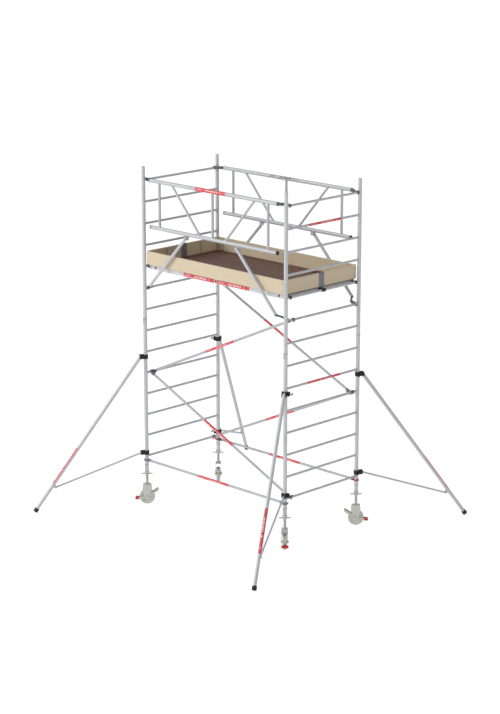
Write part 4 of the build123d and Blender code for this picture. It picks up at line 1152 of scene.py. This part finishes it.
@dataclass
class Castor:
    """One castor: threaded spindle, nut, fork, wheel and brake."""

    tower: Tower
    corner: Corner
    wheel: float = 0.1
    disc: float = 0.084
    tyre_half: float = 0.025
    hub: float = 0.0325
    bore: float = 0.0061
    spindle: float = 0.018
    thread_depth: float = 0.0022
    thread_pitch: float = 0.01
    spindle_low: float = 0.268
    spindle_high: float = 0.76
    kingpin: float = 0.01
    pedal_near: float = 0.103
    pedal_drop: float = 0.023
    pedal_height: float = 0.022
    grip: Point = (0.004, 0.07, 0.003)
    grip_count: int = 4
    grip_pitch: float = 0.011

    def place(self) -> Matrix:
        """The castor's own frame, along its heading at the post's axis."""
        x, y = self.corner.side
        at = Matrix.Translation((x * self.tower.post_x, y * self.tower.post_y, 0))
        return at @ Matrix.Rotation(self.corner.heading, 4, "Z")

    def build(self, soft: Softener, finishes: dict[str, Material]) -> None:
        """Builds and dresses the castor.

        Args:
            soft: Makes the softened copies.
            finishes: The castor finishes by name.
        """
        tag = self.corner.tag
        soft.copy(f"castor_nut_{tag}", finishes["zinc"], 0.0009)
        soft.copy(f"castor_fork_{tag}", finishes["galvanised"], 0.0009)
        arms = self.place() @ Matrix.Translation((0, 0, self.wheel))
        inverse = arms.inverted()

        def is_pedal(point: Vector) -> bool:
            """Whether a face of the brake belongs to its pedal."""
            local = inverse @ point
            low, high = -self.pedal_drop - self.pedal_height / 2, -self.pedal_drop + self.pedal_height / 2
            return local.x > self.pedal_near - 0.0005 and low - 0.0005 < local.z < high + 0.0005

        soft.copy(f"castor_brake_{tag}", finishes["arm"], 0.0012, finishes["red"], is_pedal)
        self.grips(finishes["red"])
        self.build_wheel(finishes)
        self.build_spindle(finishes["zinc"])

    def grips(self, red: Material) -> None:
        """Raised grip bars on the pedal's top."""
        piece = Piece(f"pedal_grips_{self.corner.tag}")
        top = self.wheel - self.pedal_drop + self.pedal_height / 2
        for step in range(self.grip_count):
            x = self.pedal_near + 0.01 + step * self.grip_pitch
            local = Matrix.Translation((x, 0, top + 0.0006))
            piece.block(self.grip, self.place() @ local, 0.0009)
        piece.finish(f"castor_brake_{self.corner.tag}", red, "castor_brake_red")

    def build_wheel(self, finishes: dict[str, Material]) -> None:
        """Turns the wheel's disc and tyre."""
        tag = self.corner.tag
        flat = self.place() @ Matrix.Translation((0, 0, self.wheel)) @ Matrix.Rotation(math.pi / 2, 4, "X")
        disc, half, hub = self.disc, self.tyre_half, self.hub
        one_side = [
            (self.bore, hub), (0.012, hub), (0.0135, hub - 0.0012), (0.0165, 0.0185), (0.021, 0.0165),
            (0.0245, 0.013), (0.0265, 0.0095), (0.034, 0.0085), (0.056, 0.0085), (0.061, 0.0095),
            (0.064, 0.0125), (0.067, 0.0165), (0.069, half - 0.004), (0.0705, half - 0.0032),
            (disc - 0.003, half - 0.003), (disc - 0.0012, half - 0.0036), (disc, half - 0.005),
        ]
        section = one_side + [(radius, -height) for radius, height in reversed(one_side)]
        piece = Piece(f"wheel_disc_{tag}")
        piece.lathe(section, flat, 64)
        body = f"castor_wheel_{tag}"
        piece.finish(body, finishes["disc"], "castor_wheel_grey", f"castor_wheel_{tag}")
        rim = self.wheel
        tread = [
            (disc - 0.0008, half - 0.004), (disc + 0.0012, half - 0.001), (disc + 0.003, half),
            (rim - 0.0065, half), (rim - 0.0035, half - 0.0012), (rim - 0.0012, half - 0.0038),
            (rim, half - 0.0075),
        ]
        section = tread + [(radius, -height) for radius, height in reversed(tread)]
        tyre = Piece(f"wheel_tyre_{tag}")
        tyre.lathe(section, flat, 80)
        tyre.finish(body, finishes["tyre"], "castor_wheel_grey")

    def build_spindle(self, zinc: Material) -> None:
        """Turns the spindle's flange and kingpin, and winds its trapezoidal thread."""
        tag = self.corner.tag
        piece = Piece(f"spindle_{tag}")
        low, outer = self.spindle_low, self.spindle
        root = outer - self.thread_depth
        start = low + 0.03
        foot = [
            (0, low - 0.0208), (0.0145, low - 0.0208), (0.016, low - 0.0193), (0.016, low - 0.0123),
            (0.0145, low - 0.0108), (self.kingpin, low - 0.0108), (self.kingpin, low),
            (0.0325, low), (0.034, low + 0.0015), (0.034, low + 0.0045), (0.0325, low + 0.006),
            (0.0225, low + 0.006), (outer, low + 0.009), (outer, start - 0.004),
            (outer - 0.001, start - 0.002),
            (root - 0.0004, start - 0.002), (root - 0.0004, self.spindle_high), (0.014, self.spindle_high),
            (0.014, start), (0, start),
        ]
        at_post = Matrix.Translation(self.place().translation)
        piece.lathe(foot, at_post, 40, closed=False)
        turns = int((self.spindle_high - start - 0.012) / self.thread_pitch)
        pitch, steps = self.thread_pitch, 24
        tooth = [
            (root - 0.0008, 0.0), (root, 0.0004), (outer, pitch * 0.28), (outer, pitch * 0.58),
            (root, pitch * 0.86), (root - 0.0008, pitch * 0.9),
        ]
        wound = [(radius, height + start) for radius, height in tooth]
        piece.sweep(wound, at_post, math.tau * turns, steps * turns, pitch / steps)
        piece.finish(f"castor_spindle_{tag}", zinc, "castor_spindle_steel", f"castor_spindle_{tag}")


@dataclass
class Stabiliser:
    """One stabiliser: clamps, leg with its rubber foot, stay and leg label."""

    tower: Tower
    corner: Corner
    radius: float = 0.0225
    pivot: float = 0.064
    reach: float = 1.485
    swing: float = math.radians(60)
    foot: float = 0.05
    foot_radius: float = 0.03
    foot_round: float = 0.006
    clamp_drop: float = 0.06
    label: tuple[float, float] = (0.59, 0.82)
    wrap: float = math.radians(116)

    def build(self, soft: Softener, finishes: dict[str, Material]) -> None:
        """Builds and dresses the stabiliser.

        Args:
            soft: Makes the softened copies.
            finishes: The stabiliser finishes by name.
        """
        tag = self.corner.tag
        side_x, side_y = self.corner.side
        tower = self.tower
        out = Vector((side_x * math.cos(self.swing), side_y * math.sin(self.swing), 0))
        post = Vector((side_x * tower.post_x, side_y * tower.post_y, 0))
        head = post + out * self.pivot + Vector((0, 0, tower.rung(6) - self.clamp_drop))
        lean = math.atan2(self.reach - self.pivot, head.z)
        for _ in range(4):
            tip = (self.foot_radius - self.foot_round) * math.sin(lean) + self.foot_round * (1 - math.cos(lean))
            lean = math.atan2(self.reach - self.pivot, head.z - tip)
        run = out * math.sin(lean) - Vector((0, 0, math.cos(lean)))
        length = math.hypot(self.reach - self.pivot, head.z - tip)

        def is_foot(point: Vector) -> bool:
            """Whether a face of the leg belongs to its rubber foot."""
            return (point - head).dot(run) > length - self.foot - 0.0004

        soft.copy(f"stabiliser_leg_{tag}", finishes["tube"], 0.0008, finishes["rubber"], is_foot)
        soft.copy(f"stabiliser_clamps_{tag}", finishes["black"], 0.0012)
        paint(tower.nodes[f"stabiliser_stay_{tag}"], finishes["tube"])
        start, end = (head + run * length * share for share in self.label)
        sleeve(
            f"label_leg_{tag}", start, end, self.radius, Vector((0, 0, 1)), "stabiliser_aluminium", Marking.LEG,
            f"stabiliser_{tag}", self.wrap, half=0.4,
        )
        cap = Piece(f"foot_rings_{tag}")
        for step in range(3):
            at = head + run * (length - self.foot + 0.012 + step * 0.011)
            cap.lathe(ring(self.foot_radius, 0.0011, 0.0016), facing(at, run), 36)
        cap.finish(f"stabiliser_{tag}", finishes["rubber"], "stabiliser_aluminium")


@dataclass
class Studio:
    """Pale floor, soft lights and the camera."""

    eye: Point = (18.53376, -18.6274, 9.08324)
    heading: float = 0.78287
    pitch: float = 0.25999
    lens: float = 108.2
    sensor: float = 36.0
    floor_size: float = 160.0
    floor_drop: float = -0.0005
    backdrop: float = 0.3
    bounce: float = 0.62
    sky_low: float = 0.18
    sky_high: float = 0.62

    def build(self) -> None:
        """Sets the stage."""
        scene = bpy.context.scene
        scene.view_settings.view_transform = "Standard"
        self.floor()
        self.world(scene)
        self.lights()
        level = math.cos(self.pitch)
        back = Vector((math.sin(self.heading) * level, -math.cos(self.heading) * level, math.sin(self.pitch)))
        camera = bpy.data.cameras.new("camera")
        camera.sensor_fit = "AUTO"
        camera.sensor_width = self.sensor
        camera.lens = self.lens
        camera.clip_end = 500.0
        holder = bpy.data.objects.new("camera", camera)
        holder.rotation_mode = "QUATERNION"
        holder.location = self.eye
        holder.rotation_quaternion = (-back).to_track_quat("-Z", "Y")
        scene.collection.objects.link(holder)
        scene.camera = holder

    def floor(self) -> None:
        """A wide pale floor just under the feet."""
        bm = bmesh.new()
        bmesh.ops.create_grid(bm, x_segments=1, y_segments=1, size=self.floor_size / 2)
        recipe = Recipe("floor_paint")
        recipe.set(Base_Color=(0.3, 0.3, 0.3), Roughness=0.9, Specular_IOR_Level=0.0)
        recipe.set(Emission_Color=(1.0, 1.0, 1.0))
        seen = recipe.node("ShaderNodeLightPath").outputs["Is Camera Ray"]
        glow = recipe.maths("ADD", recipe.maths("MULTIPLY", seen, self.backdrop), self.bounce)
        recipe.link(glow, recipe.shader.inputs["Emission Strength"])
        floor = placed("floor", bm, recipe.material)
        floor.location.z = self.floor_drop

    def world(self, scene: bpy.types.Scene) -> None:
        """A soft grey surround that gives the tubes their darker sides, behind a white backdrop."""
        world = bpy.data.worlds.new("studio")
        world.use_nodes = True
        tree = world.node_tree
        background = tree.nodes["Background"]
        coordinates = tree.nodes.new("ShaderNodeTexCoord")
        direction = tree.nodes.new("ShaderNodeVectorMath")
        direction.operation = "DOT_PRODUCT"
        direction.inputs[1].default_value = Vector((-0.5, -0.6, 0.6)).normalized()
        tree.links.new(coordinates.outputs["Generated"], direction.inputs[0])
        ramp = tree.nodes.new("ShaderNodeMapRange")
        ends = (("From Min", -0.9), ("From Max", 0.9), ("To Min", self.sky_low), ("To Max", self.sky_high))
        for name, number in ends:
            ramp.inputs[name].default_value = number
        tree.links.new(direction.outputs["Value"], ramp.inputs["Value"])
        path = tree.nodes.new("ShaderNodeLightPath")
        strength = tree.nodes.new("ShaderNodeMix")
        tree.links.new(path.outputs["Is Camera Ray"], strength.inputs["Factor"])
        tree.links.new(ramp.outputs["Result"], strength.inputs[2])
        strength.inputs[3].default_value = 1.0
        tree.links.new(strength.outputs[0], background.inputs["Strength"])
        background.inputs["Color"].default_value = (1.0, 1.0, 1.0, 1.0)
        scene.world = world

    def lights(self) -> None:
        """Three large soft lights."""
        for name, place, size, power in (
            ("key", Vector((-8, -13, 10)), 9.0, 1050.0),
            ("fill", Vector((13, -3, 7)), 8.0, 40.0),
            ("rim", Vector((-4, 12, 10)), 8.0, 80.0),
        ):
            light = bpy.data.lights.new(name, "AREA")
            light.size = size
            light.energy = power
            holder = bpy.data.objects.new(name, light)
            holder.location = place
            holder.rotation_mode = "QUATERNION"
            holder.rotation_quaternion = (place - Vector((0, 0, 2.2))).to_track_quat("Z", "Y")
            bpy.context.scene.collection.objects.link(holder)


def main() -> None:
    """Loads the frame and builds every sub-assembly."""
    logging.basicConfig(level=logging.INFO, format="%(message)s")
    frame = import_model()
    slots = {row["node"]: row["material_slot"] for row in frame["record"]["subparts"]}
    tower = Tower(frame["nodes"], slots)
    soft = Softener(frame["nodes"], slots)
    Studio().build()
    EndFrames(tower).build(soft)
    Braces(tower).build(soft)
    Guardrails(tower).build(soft)
    Platform(tower).build(soft)
    ToeBoards(tower).build(soft)
    castor_finishes = {
        "zinc": CastMetal("zinc_plate", (0.62, 0.62, 0.6), (0.5, 0.5, 0.49), 0.45, 0.36, 0.003).material(),
        "galvanised": Galvanised(
            "fork_galvanised", (0.72, 0.73, 0.67), (0.64, 0.65, 0.6), metal=0.15,
        ).material(),
        "arm": Galvanised("brake_arm_galvanised", (0.7, 0.71, 0.66), (0.6, 0.61, 0.57), metal=0.2).material(),
        "red": Enamel("pedal_red", srgb(222, 10, 22), srgb(150, 12, 20), 0.3).material(),
        "disc": Moulding("wheel_nylon", srgb(232, 232, 223), srgb(216, 216, 206), 0.42).material(),
        "tyre": Moulding("tyre_grey", srgb(208, 208, 200), srgb(184, 184, 176), 0.55).material(),
    }
    leg_finishes = {
        "tube": DrawnAluminium("stabiliser_tube").material(),
        "rubber": Moulding("foot_rubber", srgb(30, 30, 31), srgb(58, 56, 54), 0.6).material(),
        "black": CastMetal("clamp_black", srgb(38, 38, 40), srgb(24, 24, 26), 0.25, 0.42).material(),
    }
    for corner in Corner:
        Castor(tower, corner).build(soft, castor_finishes)
        Stabiliser(tower, corner).build(soft, leg_finishes)


if __name__ == "__main__":
    main()
